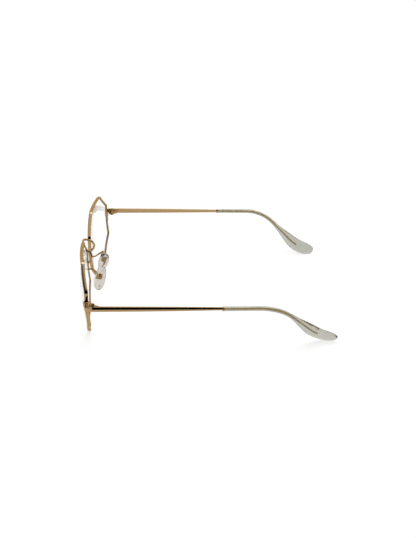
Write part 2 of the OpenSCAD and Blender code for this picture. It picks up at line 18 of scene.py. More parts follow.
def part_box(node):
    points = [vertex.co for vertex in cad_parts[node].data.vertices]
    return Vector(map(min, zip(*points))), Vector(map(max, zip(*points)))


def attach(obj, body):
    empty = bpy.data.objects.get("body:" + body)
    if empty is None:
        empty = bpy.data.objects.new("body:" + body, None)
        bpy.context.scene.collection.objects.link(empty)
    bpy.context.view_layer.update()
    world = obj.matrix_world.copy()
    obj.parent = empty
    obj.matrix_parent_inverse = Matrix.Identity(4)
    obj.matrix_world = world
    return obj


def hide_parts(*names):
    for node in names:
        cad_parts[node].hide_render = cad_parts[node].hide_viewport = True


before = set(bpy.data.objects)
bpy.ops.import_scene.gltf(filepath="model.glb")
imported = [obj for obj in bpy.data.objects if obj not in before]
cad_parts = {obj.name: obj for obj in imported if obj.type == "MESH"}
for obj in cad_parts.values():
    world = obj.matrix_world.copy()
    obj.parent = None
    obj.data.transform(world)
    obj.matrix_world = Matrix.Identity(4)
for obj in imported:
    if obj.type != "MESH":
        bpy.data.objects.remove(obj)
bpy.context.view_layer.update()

LOG = logging.getLogger("eyeglasses")
MM = 0.001
TAU = 2 * math.pi
# Points closer than this are one point, in millimetres
MERGE_MM = 0.0001
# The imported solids' rounding is coarser, in millimetres
PACKED_MERGE_MM = 0.002
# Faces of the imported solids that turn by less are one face, and edges that turn by more are rounded
PACKED_FLAT = 2.0
PACKED_EDGE = 35.0
# Faces across such a rounding
ROUND_FACES = 3
# Blender's noise seldom leaves this range
NOISE_RANGE = (0.3, 0.7)

Ring = list[Vector]
Faces = list[tuple[int, ...]]
Span = tuple[float, float]
Table = tuple[tuple[float, ...], ...]


class Side(Enum):
    """Which of the two mirrored pieces is built, with the sign of its X."""

    LEFT = 1
    RIGHT = -1

    def of(self, piece: str) -> str:
        """Name of this side's node, body or piece."""
        return f"{self.name.lower()}_{piece}"


class Body(Enum):
    """The rigid bodies that pieces ride on."""

    FRONT = "front"
    TEMPLE = "temple"
    PAD = "pad"

    def on(self, side: Optional[Side]) -> str:
        """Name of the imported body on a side; the front needs none."""
        return self.value if self is Body.FRONT or side is None else side.of(self.value)


# ------------------------------------------------------------------ materials


def linear(hex_colour: str) -> tuple[float, float, float, float]:
    """Turns an sRGB hex colour into linear light.

    Args:
        hex_colour: Six hex digits after a number sign.

    Returns:
        Linear red, green, blue and an alpha of 1.
    """
    steps = [int(hex_colour[i : i + 2], 16) / 255 for i in (1, 3, 5)]
    r, g, b = [s / 12.92 if s <= 0.04045 else ((s + 0.055) / 1.055) ** 2.4 for s in steps]
    return r, g, b, 1.0


def add_node(
    tree: bpy.types.NodeTree, kind: str, inputs: Optional[dict[Any, Any]] = None, **settings: Any
) -> bpy.types.Node:
    """Adds a node with its settings, values and links.

    Args:
        tree: The node tree.
        kind: Blender's name of the node's type.
        inputs: Socket name or number to a value, an output socket, or a node whose first output is linked.
        settings: The node's own properties.

    Returns:
        The new node.
    """
    node = tree.nodes.new(kind)
    for name, value in settings.items():
        setattr(node, name, value)
    for key, value in (inputs or {}).items():
        socket = node.inputs[key]
        if isinstance(value, bpy.types.Node):
            value = next(out for out in value.outputs if out.enabled)
        if isinstance(value, bpy.types.NodeSocket):
            tree.links.new(value, socket)
        else:
            socket.default_value = value
    return node


def calc(tree: bpy.types.NodeTree, operation: str, a: Any, b: Any = 0.0, **settings: Any) -> bpy.types.Node:
    """Adds a math node on one or two values or sockets."""
    return add_node(tree, "ShaderNodeMath", {0: a, 1: b}, operation=operation, **settings)


def mapped(tree: bpy.types.NodeTree, value: Any, source: Span, target: Span,
           **settings: Any) -> bpy.types.Node:
    """Adds a node that maps one range of values to another."""
    return add_node(tree, "ShaderNodeMapRange", {"Value": value, "From Min": source[0],
        "From Max": source[1], "To Min": target[0], "To Max": target[1]}, **settings)


def bare_material(name: str) -> bpy.types.Material:
    """Makes a material with an empty node tree.

    Args:
        name: Its name.

    Returns:
        The new material.
    """
    made = bpy.data.materials.new(name)
    made.use_nodes = True
    made.node_tree.nodes.clear()
    return made


@dataclass(frozen=True)
class PlatedMetal:
    """Polished metal with a thin gold-toned plating.

    The plating is even and glossy; under it the drawn wire keeps very fine draw lines, and handling leaves
    faint smears that show only as slow changes of gloss.
    """

    name: str
    colour: str
    worn_colour: str
    roughness: float
    # Colour at a flat angle, where plating turns pale but stays warm
    edge_colour: str = "#E3D3B4"
    # Less than 1 where an oxide dulls the metal
    metal: float = 1.0
    # Smears are as wide as the edge of a fingertip; they change the roughness by these shares
    smear_mm: float = 5.0
    smear_shares: Span = (0.92, 1.12)
    # Real draw lines are about a tenth of this; they are drawn this coarse so that they show
    scratch_mm: float = 0.22
    scratch_depth_mm: float = 0.01
    scratch_strength: float = 0.05

    def material(self) -> bpy.types.Material:
        """Builds the material.

        Returns:
            The new material.
        """
        made = bare_material(self.name)
        tree = made.node_tree
        place = add_node(tree, "ShaderNodeTexCoord").outputs["Object"]
        smear = add_node(tree, "ShaderNodeTexNoise",
            {"Vector": place, "Scale": 1 / (self.smear_mm * MM), "Detail": 3.0, "Roughness": 0.55})
        fine = add_node(tree, "ShaderNodeTexNoise",
            {"Vector": place, "Scale": 1 / (self.scratch_mm * MM), "Detail": 2.0, "Roughness": 0.6})
        clean, smeared = self.smear_shares
        gloss = mapped(tree, smear.outputs["Fac"], NOISE_RANGE,
            (self.roughness * clean, self.roughness * smeared))
        tint = add_node(tree, "ShaderNodeMix", {"Factor": smear.outputs["Fac"],
            6: linear(self.colour), 7: linear(self.worn_colour)}, data_type="RGBA")
        bump = add_node(tree, "ShaderNodeBump", {"Height": fine.outputs["Fac"],
            "Strength": self.scratch_strength, "Distance": self.scratch_depth_mm * MM})
        surface = add_node(tree, "ShaderNodeBsdfPrincipled",
            {"Base Color": tint.outputs[2], "Metallic": self.metal, "Roughness": gloss.outputs["Result"],
             "Specular Tint": linear(self.edge_colour), "Normal": bump.outputs["Normal"]})
        add_node(tree, "ShaderNodeOutputMaterial", {"Surface": surface.outputs["BSDF"]})
        return made


@dataclass(frozen=True)
class ClearMoulding:
    """Clear or nearly clear plastic, silicone or lens material that light passes through.

    Moulding or tumbling leaves a slow ripple, a few millimetres long and far too flat to feel.
    """

    name: str
    colour: str
    ior: float
    roughness: float
    # Length of the ripple, and how strongly it shows
    ripple_mm: float
    ripple: float
    # 0.5 is a plain surface; less has fainter reflections
    gloss_level: float = 0.5
    ripple_depth_mm: float = 0.05
    # The dullest places have this many times the roughness, and this much more
    dull_share: float = 1.5
    dull_more: float = 0.01

    def material(self) -> bpy.types.Material:
        """Builds the material.

        Returns:
            The new material.
        """
        made = bare_material(self.name)
        tree = made.node_tree
        place = add_node(tree, "ShaderNodeTexCoord").outputs["Object"]
        wave = add_node(tree, "ShaderNodeTexNoise",
            {"Vector": place, "Scale": 1 / (self.ripple_mm * MM), "Detail": 1.5})
        gloss = mapped(tree, wave.outputs["Fac"], NOISE_RANGE,
            (self.roughness, self.roughness * self.dull_share + self.dull_more))
        bump = add_node(tree, "ShaderNodeBump", {"Height": wave.outputs["Fac"],
            "Strength": self.ripple, "Distance": self.ripple_depth_mm * MM})
        surface = add_node(tree, "ShaderNodeBsdfPrincipled",
            {"Base Color": linear(self.colour), "IOR": self.ior, "Transmission Weight": 1.0,
             "Roughness": gloss.outputs["Result"], "Normal": bump.outputs["Normal"],
             "Specular IOR Level": self.gloss_level})
        add_node(tree, "ShaderNodeOutputMaterial", {"Surface": surface.outputs["BSDF"]})
        return made


class Finish(Enum):
    """Every finish of the glasses, named by the real material and how it was made."""

    # Nickel alloy wire, drawn, polished and plated in pale gold: the rims, arms, bridge and small parts
    PALE_GOLD = PlatedMetal("pale_gold_plated_wire", "#AF946C", "#A68A60", 0.13)
    # The same plating on cast and milled hinge parts, a little deeper and less even
    DEEP_GOLD = PlatedMetal("deep_gold_plated_hinge", "#A58657", "#93744A", 0.2,
        smear_mm=3.0, scratch_mm=0.15)
    # The same alloy left as drawn, with a thin oxide that makes it partly matt; its colour is painted paler
    # than the plating, as painted light that stands in for the light the clear tips keep from it
    CORE = PlatedMetal("drawn_core_wire", "#DAC192", "#C6AC7C", 0.4, metal=0.65)
    # Turned screws: brighter on their edges
    SCREW = PlatedMetal("turned_gold_plated_screw", "#B3925C", "#8F7144", 0.17,
        smear_mm=1.5, scratch_mm=0.12)
    # Polished acrylic without correction, with little shine of its own
    LENS = ClearMoulding("clear_polished_lens", "#FEFEFE", 1.49, 0.0, 30.0, 0.0, 0.2)
    # Clear acetate, milled and tumbled to a soft polish
    ACETATE = ClearMoulding("clear_grey_acetate", "#B9B8AE", 1.48, 0.02, 4.0, 0.05)
    # Moulded silicone, softer in gloss than the acetate; its warm grey tint is partly its own and partly
    # painted shade, darkened to stand in for the dark surroundings seen through the pads
    SILICONE = ClearMoulding("clear_moulded_silicone", "#D0CAC3", 1.43, 0.02, 1.5, 0.05)

    def material(self) -> bpy.types.Material:
        """The finish's material, built once."""
        return bpy.data.materials.get(self.value.name) or self.value.material()


# ------------------------------------------------------------------ shared geometry


def cosd(angle: float) -> float:
    """Cosine of an angle in degrees."""
    return math.cos(math.radians(angle))


def sind(angle: float) -> float:
    """Sine of an angle in degrees."""
    return math.sin(math.radians(angle))


def clip(t: float) -> float:
    """The value held between 0 and 1."""
    return min(1.0, max(0.0, t))


def eased(t: float) -> float:
    """Smooth step from 0 to 1."""
    c = clip(t)
    return c * c * (3 - 2 * c)


def lookup(s: float, table: Sequence[tuple[float, float]]) -> float:
    """Straight line interpolation in a table, held at its ends.

    Args:
        s: Where to read.
        table: Pairs of place and value, in order.

    Returns:
        The value at that place.
    """
    if s <= table[0][0]:
        return table[0][1]
    for (a, low), (b, high) in zip(table, table[1:]):
        if s <= b:
            return low + (high - low) * (s - a) / (b - a)
    return table[-1][1]


def smooth_path(points: Sequence[Vector], steps: int) -> list[Vector]:
    """Smooth curve through points.

    Args:
        points: The points.
        steps: Steps from point to point.

    Returns:
        The curve's points.
    """
    ends = [2 * points[0] - points[1], *points, 2 * points[-1] - points[-2]]
    path = []
    for a, b, c, d in zip(ends, ends[1:], ends[2:], ends[3:]):
        for k in range(steps):
            t = k / steps
            path.append(0.5 * (2 * b + (c - a) * t + (2 * a - 5 * b + 4 * c - d) * t * t
                + (3 * b - a - 3 * c + d) * t**3))
    return path + [points[-1]]


def oval(centre: Vector, side: Vector, up: Vector, half_side: float, half_up: float,
         count: int, power: float = 2.0) -> Ring:
    """Ring of points on an oval.

    Args:
        centre: Its middle.
        side: Unit vector along its first half axis.
        up: Unit vector along its second half axis.
        half_side: Length of the first half axis.
        half_up: Length of the second half axis.
        count: Number of points.
        power: 2 for an ellipse, more for fuller corners.

    Returns:
        The ring.
    """
    ring = []
    for j in range(count):
        c, s = math.cos(TAU * j / count), math.sin(TAU * j / count)
        ring.append(centre + side * (half_side * math.copysign(abs(c) ** (2 / power), c))
            + up * (half_up * math.copysign(abs(s) ** (2 / power), s)))
    return ring


def ridged_section(thickness: float, height: float, ridge: bool = True,
                   steps: int = 4) -> list[tuple[float, float]]:
    """Section of an arm or strip: flat inside, and outside flat or two slopes that meet in a rounded ridge.

    Args:
        thickness: From the flat inside to the outside.
        height: Full height.
        ridge: Whether the outside has the ridge.
        steps: Points that round each corner.

    Returns:
        Points (outwards, up) round the section.
    """
    t, h = thickness / 2, height / 2
    inside = [(-0.5 * t, h), (-t, 0.9 * h), (-t, -0.9 * h), (-0.5 * t, -h)]
    outside = [(0.3 * t, -h), (t, -0.08 * h), (t, 0.02 * h), (0.5 * t, 0.84 * h), (0.3 * t, h)]
    if not ridge:
        outside = [(0.5 * t, -h), (t, -0.75 * h), (t, 0.75 * h), (0.5 * t, h)]
    corners = inside + outside
    points = []
    for i, (x, z) in enumerate(corners):
        before, here, after = Vector(corners[i - 1]), Vector((x, z)), Vector(corners[(i + 1) % len(corners)])
        round_r = min(0.22 * t, 0.45 * (before - here).length, 0.45 * (after - here).length)
        a = here + (before - here).normalized() * round_r
        b = here + (after - here).normalized() * round_r
        for k in range(steps + 1):
            w = k / steps
            p = a * (1 - w) ** 2 + 2 * here * w * (1 - w) + b * w * w
            points.append((p.x, p.y))
    return points


@dataclass
class Surface:
    """Points and faces of a mesh that is being put together."""

    points: list[Vector] = field(default_factory=list)
    faces: Faces = field(default_factory=list)

    def loft(self, rings: Sequence[Ring], start: bool = True, end: bool = True,
             join: bool = False) -> "Surface":
        """Adds a skin over rings of equal length.

        Args:
            rings: The rings, in order.
            start: Whether the first ring is closed with a face.
            end: Whether the last ring is closed with a face.
            join: Whether the last ring is joined to the first.

        Returns:
            This surface.
        """
        first, m, n = len(self.points), len(rings[0]), len(rings)
        self.points += [p for ring in rings for p in ring]
        for i in range(n if join else n - 1):
            a, b = first + i * m, first + (i + 1) % n * m
            self.faces += [(a + j, a + (j + 1) % m, b + (j + 1) % m, b + j) for j in range(m)]
        if start and not join:
            self.faces.append(tuple(first + j for j in range(m - 1, -1, -1)))
        if end and not join:
            self.faces.append(tuple(first + (n - 1) * m + j for j in range(m)))
        return self

    def add(self, other: "Surface") -> None:
        """Adds another surface's points and faces.

        Args:
            other: The surface, which stays as it is.
        """
        first = len(self.points)
        self.points += other.points
        self.faces += [tuple(first + i for i in face) for face in other.faces]


@dataclass(frozen=True)
class LensPlace:
    """Size, bend and place of a lens and its rim, in millimetres and degrees."""

    width: float = 54.0
    height: float = 42.0
    level_edge: float = 26.6
    upright_edge: float = 19.8
    corner_r: float = 2.4
    ball_r: float = 124.0
    wrap: float = 5.6
    tilt: float = 2.9
    bridge_w: float = 17.9
    rim_t: float = 1.1
    rim_d: float = 2.0

    @property
    def half_w(self) -> float:
        """Half width of the octagon."""
        return self.width / 2

    @property
    def half_h(self) -> float:
        """Half height of the octagon."""
        return self.height / 2

    def sag(self, u: float, v: float, depth: float = 0.0) -> float:
        """How far back the surface lies at a point (outwards, up), at a depth behind the middle surface."""
        return self.ball_r - math.sqrt((self.ball_r - depth) ** 2 - u * u - v * v)

    @property
    def centre_z(self) -> float:
        """Height of the lens's middle, with the rim standing on the ground."""
        low = self.half_h + self.rim_t / 2
        return low * cosd(self.tilt) - (self.sag(0, low) - self.rim_d / 2) * sind(self.tilt)

    @property
    def centre_x(self) -> float:
        """Distance of the lens's middle from the nose's middle."""
        return self.bridge_w / 2 + self.half_w * cosd(self.wrap)

    def matrix(self) -> Matrix:
        """Places the lens's own frame (outwards, backwards, up) in the glasses.

        Returns:
            The matrix, before the shift along Y.
        """
        wrap = Matrix.Rotation(math.radians(self.wrap), 4, "Z")
        tilt = Matrix.Rotation(math.radians(self.tilt), 4, "X")
        return Matrix.Translation((self.centre_x, 0, self.centre_z)) @ wrap @ tilt

    def at(self, u: float, v: float, depth: float = 0.0) -> Vector:
        """Point on the bent surface, in the glasses' frame."""
        return self.matrix() @ Vector((u, self.sag(u, v, depth), v))

    def behind(self, u: float, v: float, more: float) -> Vector:
        """Point behind the rim along its surface's normal, that much clear of it."""
        normal = Vector((-u, self.ball_r - self.sag(u, v), -v)).normalized()
        return self.matrix() @ (Vector((u, self.sag(u, v), v)) + (self.rim_d / 2 + more) * normal)

    def outline(self, grow: float, steps: int, spacing: float = 1.2) -> list[Vector]:
        """Outline of the octagon, with points along its edges so that they can bend with the ball.

        Args:
            grow: How far outside the wire's centre line it runs.
            steps: Points along each corner's arc.
            spacing: Distance between the points along the edges.

        Returns:
            Points (outwards, up) round the octagon.
        """
        w, h, a, b = self.half_w, self.half_h, self.level_edge / 2, self.upright_edge / 2
        corners = [Vector(c) for c in
            ((w, b), (a, h), (-a, h), (-w, b), (-w, -b), (-a, -h), (a, -h), (w, -b))]
        normals = []
        for i, corner in enumerate(corners):
            along = (corners[(i + 1) % 8] - corner).normalized()
            normals.append(Vector((along.y, -along.x)))
        points = []
        for i, corner in enumerate(corners):
            before, after = normals[i - 1], normals[i]
            centre = corner - self.corner_r * (before + after) / (1 + before.dot(after))
            for k in range(steps + 1):
                way = (before * (steps - k) + after * k).normalized()
                points.append(centre + (self.corner_r + grow) * way)
        closer = []
        for here, after in zip(points, points[1:] + points[:1]):
            parts = max(1, round((after - here).length / spacing))
            closer += [here.lerp(after, k / parts) for k in range(parts)]
        return closer


LENS = LensPlace()


@dataclass(frozen=True)
class HingePlace:
    """Where the end pieces and hinges are, in millimetres."""

    span: float = 138.5
    rise: float = 3.6
    back: float = 3.7
    strip_t: float = 1.4
    arm_t: float = 1.6
    gap: float = 0.1
    knuckle_r: float = 1.25

    @property
    def arm_x(self) -> float:
        """Distance of an arm's middle from the nose's middle."""
        return self.span / 2

    @property
    def z(self) -> float:
        """Height of the hinges' middle."""
        return LENS.centre_z + self.rise

    @property
    def strip_y(self) -> float:
        """Place of the end piece's front strip, before the shift along Y."""
        return LENS.at(LENS.half_w, self.rise).y

    @property
    def seam_y(self) -> float:
        """Place of the hinge's axis, before the shift along Y."""
        return self.strip_y + self.back

    @property
    def axis_x(self) -> float:
        """Distance of the hinge's axis from the nose's middle."""
        return self.arm_x - max(self.strip_t, self.arm_t) / 2 - self.gap - self.knuckle_r

    @property
    def leaf_gap(self) -> float:
        """Distance from the hinge's axis at which its plates begin."""
        return self.knuckle_r + 2 * self.gap


HINGE = HingePlace()


def shift_y() -> float:
    """Shift along Y that puts the middle of the glasses at 0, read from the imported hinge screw."""
    low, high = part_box(Side.LEFT.of("hinge_screw"))
    return (low.y + high.y) / 2 / MM - HINGE.seam_y


SHIFT = shift_y()


def settled(point: Vector, side: Side) -> Vector:
    """From millimetres on the left, before the shift, to metres on a side."""
    return Vector((point.x * side.value, point.y + SHIFT, point.z)) * MM


def in_scene(name: str, data: bpy.types.ID) -> bpy.types.Object:
    """Puts a mesh, light or camera in the scene.

    Args:
        name: Name of the object.
        data: What it shows.

    Returns:
        The new object, at the origin.
    """
    made = bpy.data.objects.new(name, data)
    bpy.context.scene.collection.objects.link(made)
    return made


def closed(name: str, mesh: bpy.types.Mesh, side: Side, finish: Finish, sharp: float) -> bpy.types.Object:
    """Moves a mesh to its side, closes its open ends, turns its faces outwards and dresses it.

    Args:
        name: The piece's name.
        mesh: Its mesh in millimetres, built for the left side.
        side: The side on which it is wanted.
        finish: Its finish.
        sharp: Edges that turn by more than this many degrees stay sharp.

    Returns:
        The new object, at the origin.
    """
    work = bmesh.new()
    work.from_mesh(mesh)
    for vert in work.verts:
        vert.co = settled(vert.co, side)
    bmesh.ops.remove_doubles(work, verts=work.verts, dist=MERGE_MM * MM)
    bmesh.ops.holes_fill(work, edges=[e for e in work.edges if e.is_boundary], sides=0)
    bmesh.ops.recalc_face_normals(work, faces=work.faces)
    work.to_mesh(mesh)
    work.free()
    return dressed(name, mesh, finish, sharp)


def solid(name: str, surface: Surface, side: Side, finish: Finish, sharp: float) -> bpy.types.Object:
    """Makes a piece of a surface.

    Args:
        name: The piece's name.
        surface: Its surface in millimetres, built for the left side.
        side: The side on which it is wanted.
        finish: Its finish.
        sharp: Edges that turn by more than this many degrees stay sharp.

    Returns:
        The new object, at the origin.
    """
    mesh = bpy.data.meshes.new(name)
    mesh.from_pydata(surface.points, [], surface.faces)
    return closed(name, mesh, side, finish, sharp)


def dressed(name: str, mesh: bpy.types.Mesh, finish: Finish, sharp: float) -> bpy.types.Object:
    """Puts a mesh in the scene with one finish, shaded smooth but for its sharp edges.

    Args:
        name: The piece's name.
        mesh: Its mesh in metres, at its place.
        finish: Its finish.
        sharp: Edges that turn by more than this many degrees stay sharp.

    Returns:
        The new object, at the origin.
    """
    mesh.materials.clear()
    mesh.materials.append(finish.material())
    mesh.shade_smooth()
    mesh.set_sharp_from_angle(angle=math.radians(sharp))
    return in_scene(name, mesh)


def seat(piece: bpy.types.Object, body: str, slot: str, *nodes: str) -> None:
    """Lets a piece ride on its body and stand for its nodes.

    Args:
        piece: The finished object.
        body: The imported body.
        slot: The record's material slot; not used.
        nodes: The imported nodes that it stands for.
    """
    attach(piece, body)
    if nodes:
        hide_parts(*nodes)
    LOG.info("%s on %s, %d faces", piece.name, body, len(piece.data.polygons))


def grown(name: str, base: bpy.types.Mesh, tree: bpy.types.NodeTree,
          values: dict[str, Any]) -> bpy.types.Mesh:
    """Runs a geometry tree on a base mesh and returns the plain mesh that it makes.

    Args:
        name: Name of the new mesh.
        base: The points and edges that the tree starts from.
        tree: The geometry tree.
        values: Value of each named input.

    Returns:
        The mesh, with its modifier gone.
    """
    holder = in_scene(name, base)
    modifier = holder.modifiers.new("build", "NODES")
    modifier.node_group = tree
    for item in tree.interface.items_tree:
        if item.item_type == "SOCKET" and item.in_out == "INPUT" and item.name in values:
            modifier[item.identifier] = values[item.name]
    bpy.context.view_layer.update()
    made = bpy.data.meshes.new_from_object(holder.evaluated_get(bpy.context.evaluated_depsgraph_get()))
    holder.modifiers.clear()
    bpy.data.objects.remove(holder)
    made.name = name
    return made


def edge_loops(name: str, loops: Sequence[tuple[Sequence[Vector], bool]]) -> bpy.types.Mesh:
    """Base mesh of bare edges for a geometry tree; its attribute part counts the loops.

    Args:
        name: Name of the mesh.
        loops: Points of each line, and whether it closes.

    Returns:
        The mesh.
    """
    points: list[Vector] = []
    edges: list[tuple[int, int]] = []
    part: list[int] = []
    for number, (line, joined) in enumerate(loops):
        first = len(points)
        points += line
        part += [number] * len(line)
        edges += [(first + i, first + i + 1) for i in range(len(line) - 1)]
        if joined:
            edges.append((first + len(line) - 1, first))
    mesh = bpy.data.meshes.new(name)
    mesh.from_pydata(points, edges, [])
    mesh.attributes.new("part", "INT", "POINT").data.foreach_set("value", part)
    return mesh


def new_tree(name: str, inputs: dict[str, tuple[str, Any]]
             ) -> tuple[bpy.types.NodeTree, dict[str, bpy.types.NodeSocket]]:
    """Starts a geometry tree.

    Args:
        name: Its name.
        inputs: Input name to its socket type and its value to begin with.

    Returns:
        The tree and its inputs' sockets by name; "Geometry" is the first.
    """
    tree = bpy.data.node_groups.new(name, "GeometryNodeTree")
    tree.interface.new_socket("Geometry", in_out="INPUT", socket_type="NodeSocketGeometry")
    for title, (kind, value) in inputs.items():
        socket = tree.interface.new_socket(title, in_out="INPUT", socket_type=kind)
        if value is not None:
            socket.default_value = value
    tree.interface.new_socket("Geometry", in_out="OUTPUT", socket_type="NodeSocketGeometry")
    start = add_node(tree, "NodeGroupInput")
    return tree, {out.name: out for out in start.outputs if out.name}


def end_tree(tree: bpy.types.NodeTree, geometry: Any, material: bpy.types.NodeSocket) -> None:
    """Ends a geometry tree in Realize Instances and Set Material.

    Args:
        tree: The tree.
        geometry: What it has made.
        material: The input that holds the material.
    """
    real = add_node(tree, "GeometryNodeRealizeInstances", {"Geometry": geometry})
    painted = add_node(tree, "GeometryNodeSetMaterial", {"Geometry": real, "Material": material})
    add_node(tree, "NodeGroupOutput", {0: painted})


# ------------------------------------------------------------------ front


@dataclass
class Rim:
    """Grooved rim wire, swept round the octagon and bent to the lens's ball."""

    side: Side
    # Height of the split over the rim's middle
    split_v: float
    split_gap: float = 0.3
    corner_steps: int = 10
    rounding: float = 0.3
    groove_w: float = 0.8
    groove_depth: float = 0.5
    # A point this close to the rim's widest line is on the upright edge
    on_edge: float = 0.001

    def section(self) -> list[Vector]:
        """Section of the wire: outwards is X and backwards is Y.

        Returns:
            Its points, with round edges outside and the lens's groove inside.
        """
        t, d, r = LENS.rim_t / 2, LENS.rim_d / 2, self.rounding
        points = []
        for (cx, cy), start in (((t - r, d - r), 0), ((-t + r / 2, d - r / 2), 90)):
            size = r if start == 0 else r / 2
            points += [Vector((cx + size * cosd(start + a), cy + size * sind(start + a), 0))
                for a in (0, 22.5, 45, 67.5, 90)]
        lip, floor = self.groove_w / 2, -t + self.groove_depth
        points += [Vector((-t, lip, 0)), Vector((floor, lip / 2, 0))]
        return points + [Vector((p.x, -p.y, 0)) for p in reversed(points)]

    def tree(self) -> bpy.types.NodeTree:
        """Geometry tree that sweeps the section and bends the result.

        Returns:
            The tree, with the ball's radius as an input.
        """
        name = "bent_grooved_rim"
        if name in bpy.data.node_groups:
            return bpy.data.node_groups[name]
        tree, start = new_tree(name,
            {"Ball Radius": ("NodeSocketFloat", LENS.ball_r * MM), "Material": ("NodeSocketMaterial", None)})
        part = add_node(tree, "GeometryNodeInputNamedAttribute", {"Name": "part"}, data_type="INT")
        split = add_node(tree, "GeometryNodeSeparateGeometry",
            {"Geometry": start["Geometry"], "Selection": part.outputs[0]}, domain="POINT")
        path = add_node(tree, "GeometryNodeMeshToCurve", {"Mesh": split.outputs["Inverted"]})
        level = add_node(tree, "GeometryNodeSetCurveNormal", {"Curve": path}, mode="Z_UP")
        section = add_node(tree, "GeometryNodeMeshToCurve", {"Mesh": split.outputs["Selection"]})
        swept = add_node(tree, "GeometryNodeCurveToMesh", {"Curve": level, "Profile Curve": section})
        where = add_node(tree, "ShaderNodeSeparateXYZ", {0: add_node(tree, "GeometryNodeInputPosition")})
        square = [calc(tree, "MULTIPLY", where.outputs[k], where.outputs[k]) for k in (0, 1)]
        away = calc(tree, "ADD", square[0], square[1])
        radius = calc(tree, "SUBTRACT", start["Ball Radius"], where.outputs[2])
        root = calc(tree, "SQRT", calc(tree, "SUBTRACT", calc(tree, "MULTIPLY", radius, radius), away))
        depth = calc(tree, "SUBTRACT", start["Ball Radius"], root)
        bent = add_node(tree, "ShaderNodeCombineXYZ", {0: where.outputs[0], 1: where.outputs[1], 2: depth})
        placed = add_node(tree, "GeometryNodeSetPosition", {"Geometry": swept, "Position": bent})
        end_tree(tree, placed, start["Material"])
        return tree

    def build(self) -> None:
        """Makes the rim and seats it."""
        # The line starts above the split at the temple side and ends below it
        gap = self.split_gap / 2
        outline = LENS.outline(0, self.corner_steps)
        beside = [p.x > LENS.half_w - self.on_edge and abs(p.y) < LENS.upright_edge / 2 for p in outline]
        upright = sorted((p for p, flat in zip(outline, beside) if flat), key=lambda p: p.y)
        above = [p for p in upright if p.y > self.split_v + 2 * gap]
        below = [p for p in upright if p.y < self.split_v - 2 * gap]
        round_it = [p for p, flat in zip(outline, beside) if not flat]
        path = [Vector((LENS.half_w, self.split_v + gap)), *above, *round_it, *below,
            Vector((LENS.half_w, self.split_v - gap))]
        base = edge_loops("rim_base", [([p.to_3d() * MM for p in path], False),
            ([p * MM for p in self.section()], True)])
        mesh = grown("rim", base, self.tree(),
            {"Ball Radius": LENS.ball_r * MM, "Material": Finish.PALE_GOLD.material()})
        # From the tree's flat frame (outwards, up, backwards) to the glasses
        swap = Matrix(((1, 0, 0, 0), (0, 0, 1, 0), (0, 1, 0, 0), (0, 0, 0, 1)))
        mesh.transform(LENS.matrix() @ swap @ Matrix.Scale(1 / MM, 4))
        piece = closed(self.side.of("rim_wire"), mesh, self.side, Finish.PALE_GOLD, sharp=40)
        seat(piece, Body.FRONT.on(None), "gold_metal", self.side.of("rim"))


@dataclass
class Lens:
    """Polished lens with the tongue that sits in the rim's groove."""

    side: Side
    thickness: float = 1.4
    gap: float = 0.04
    # The tongue: how far it reaches, and half its thickness at its foot and at its end
    tongue: float = 0.42
    tongue_foot: float = 0.3
    tongue_end: float = 0.12
    rings: int = 28
    corner_steps: int = 6

    def build(self) -> None:
        """Makes the lens and seats it."""
        edge = LENS.outline(-LENS.rim_t / 2 - self.gap, self.corner_steps)
        # As many points as the edge has, pushed outwards into the groove
        push = (LENS.half_w + self.tongue) / LENS.half_w
        tongue = [p * push for p in edge]
        half = self.thickness / 2
        surface = Surface()

        def ring(outline: Sequence[Vector], share: float, depth: float) -> Ring:
            """One ring of the lens at a share of its size."""
            return [LENS.at(p.x * share, p.y * share, depth) for p in outline]

        shares = [k / self.rings for k in range(1, self.rings + 1)]
        rings = [ring(edge, k, -half) for k in shares]
        rings += [ring(edge, 1, -self.tongue_foot), ring(tongue, 1, -self.tongue_end),
            ring(tongue, 1, self.tongue_end), ring(edge, 1, self.tongue_foot)]
        rings += [ring(edge, k, half) for k in reversed(shares)]
        surface.loft(rings, start=False, end=False)
        count, last = len(edge), len(surface.points) - len(edge)
        for first, depth in ((0, -half), (last, half)):
            surface.points.append(LENS.at(0, 0, depth))
            middle = len(surface.points) - 1
            surface.faces += [(middle, first + j, first + (j + 1) % count) for j in range(count)]
        piece = solid(self.side.of("lens_clear"), surface, self.side, Finish.LENS, sharp=20)
        # Clear lenses let the light through to what lies under them
        piece.visible_shadow = False
        seat(piece, Body.FRONT.on(None), "lens", self.side.of("lens"))


@dataclass
class RoundWire:
    """Round wire along a path, swept by a geometry tree."""

    name: str
    path: list[Vector]
    diameter: float
    finish: Finish
    sides: int = 20

    def tree(self) -> bpy.types.NodeTree:
        """Geometry tree of a round wire.

        Returns:
            The tree, with the wire's diameter and sides as inputs.
        """
        name = "round_wire"
        if name in bpy.data.node_groups:
            return bpy.data.node_groups[name]
        tree, start = new_tree(name, {"Diameter": ("NodeSocketFloat", self.diameter),
            "Sides": ("NodeSocketInt", self.sides), "Material": ("NodeSocketMaterial", None)})
        path = add_node(tree, "GeometryNodeMeshToCurve", {"Mesh": start["Geometry"]})
        radius = calc(tree, "MULTIPLY", start["Diameter"], 0.5)
        section = add_node(tree, "GeometryNodeCurvePrimitiveCircle",
            {"Resolution": start["Sides"], "Radius": radius})
        swept = add_node(tree, "GeometryNodeCurveToMesh",
            {"Curve": path, "Profile Curve": section.outputs["Curve"], "Fill Caps": True})
        end_tree(tree, swept, start["Material"])
        return tree

    def mesh(self) -> bpy.types.Mesh:
        """Sweeps the wire.

        Returns:
            Its mesh, in millimetres.
        """
        base = edge_loops(self.name, [(self.path, False)])
        return grown(self.name, base, self.tree(), {"Diameter": self.diameter, "Sides": self.sides,
            "Material": self.finish.material()})


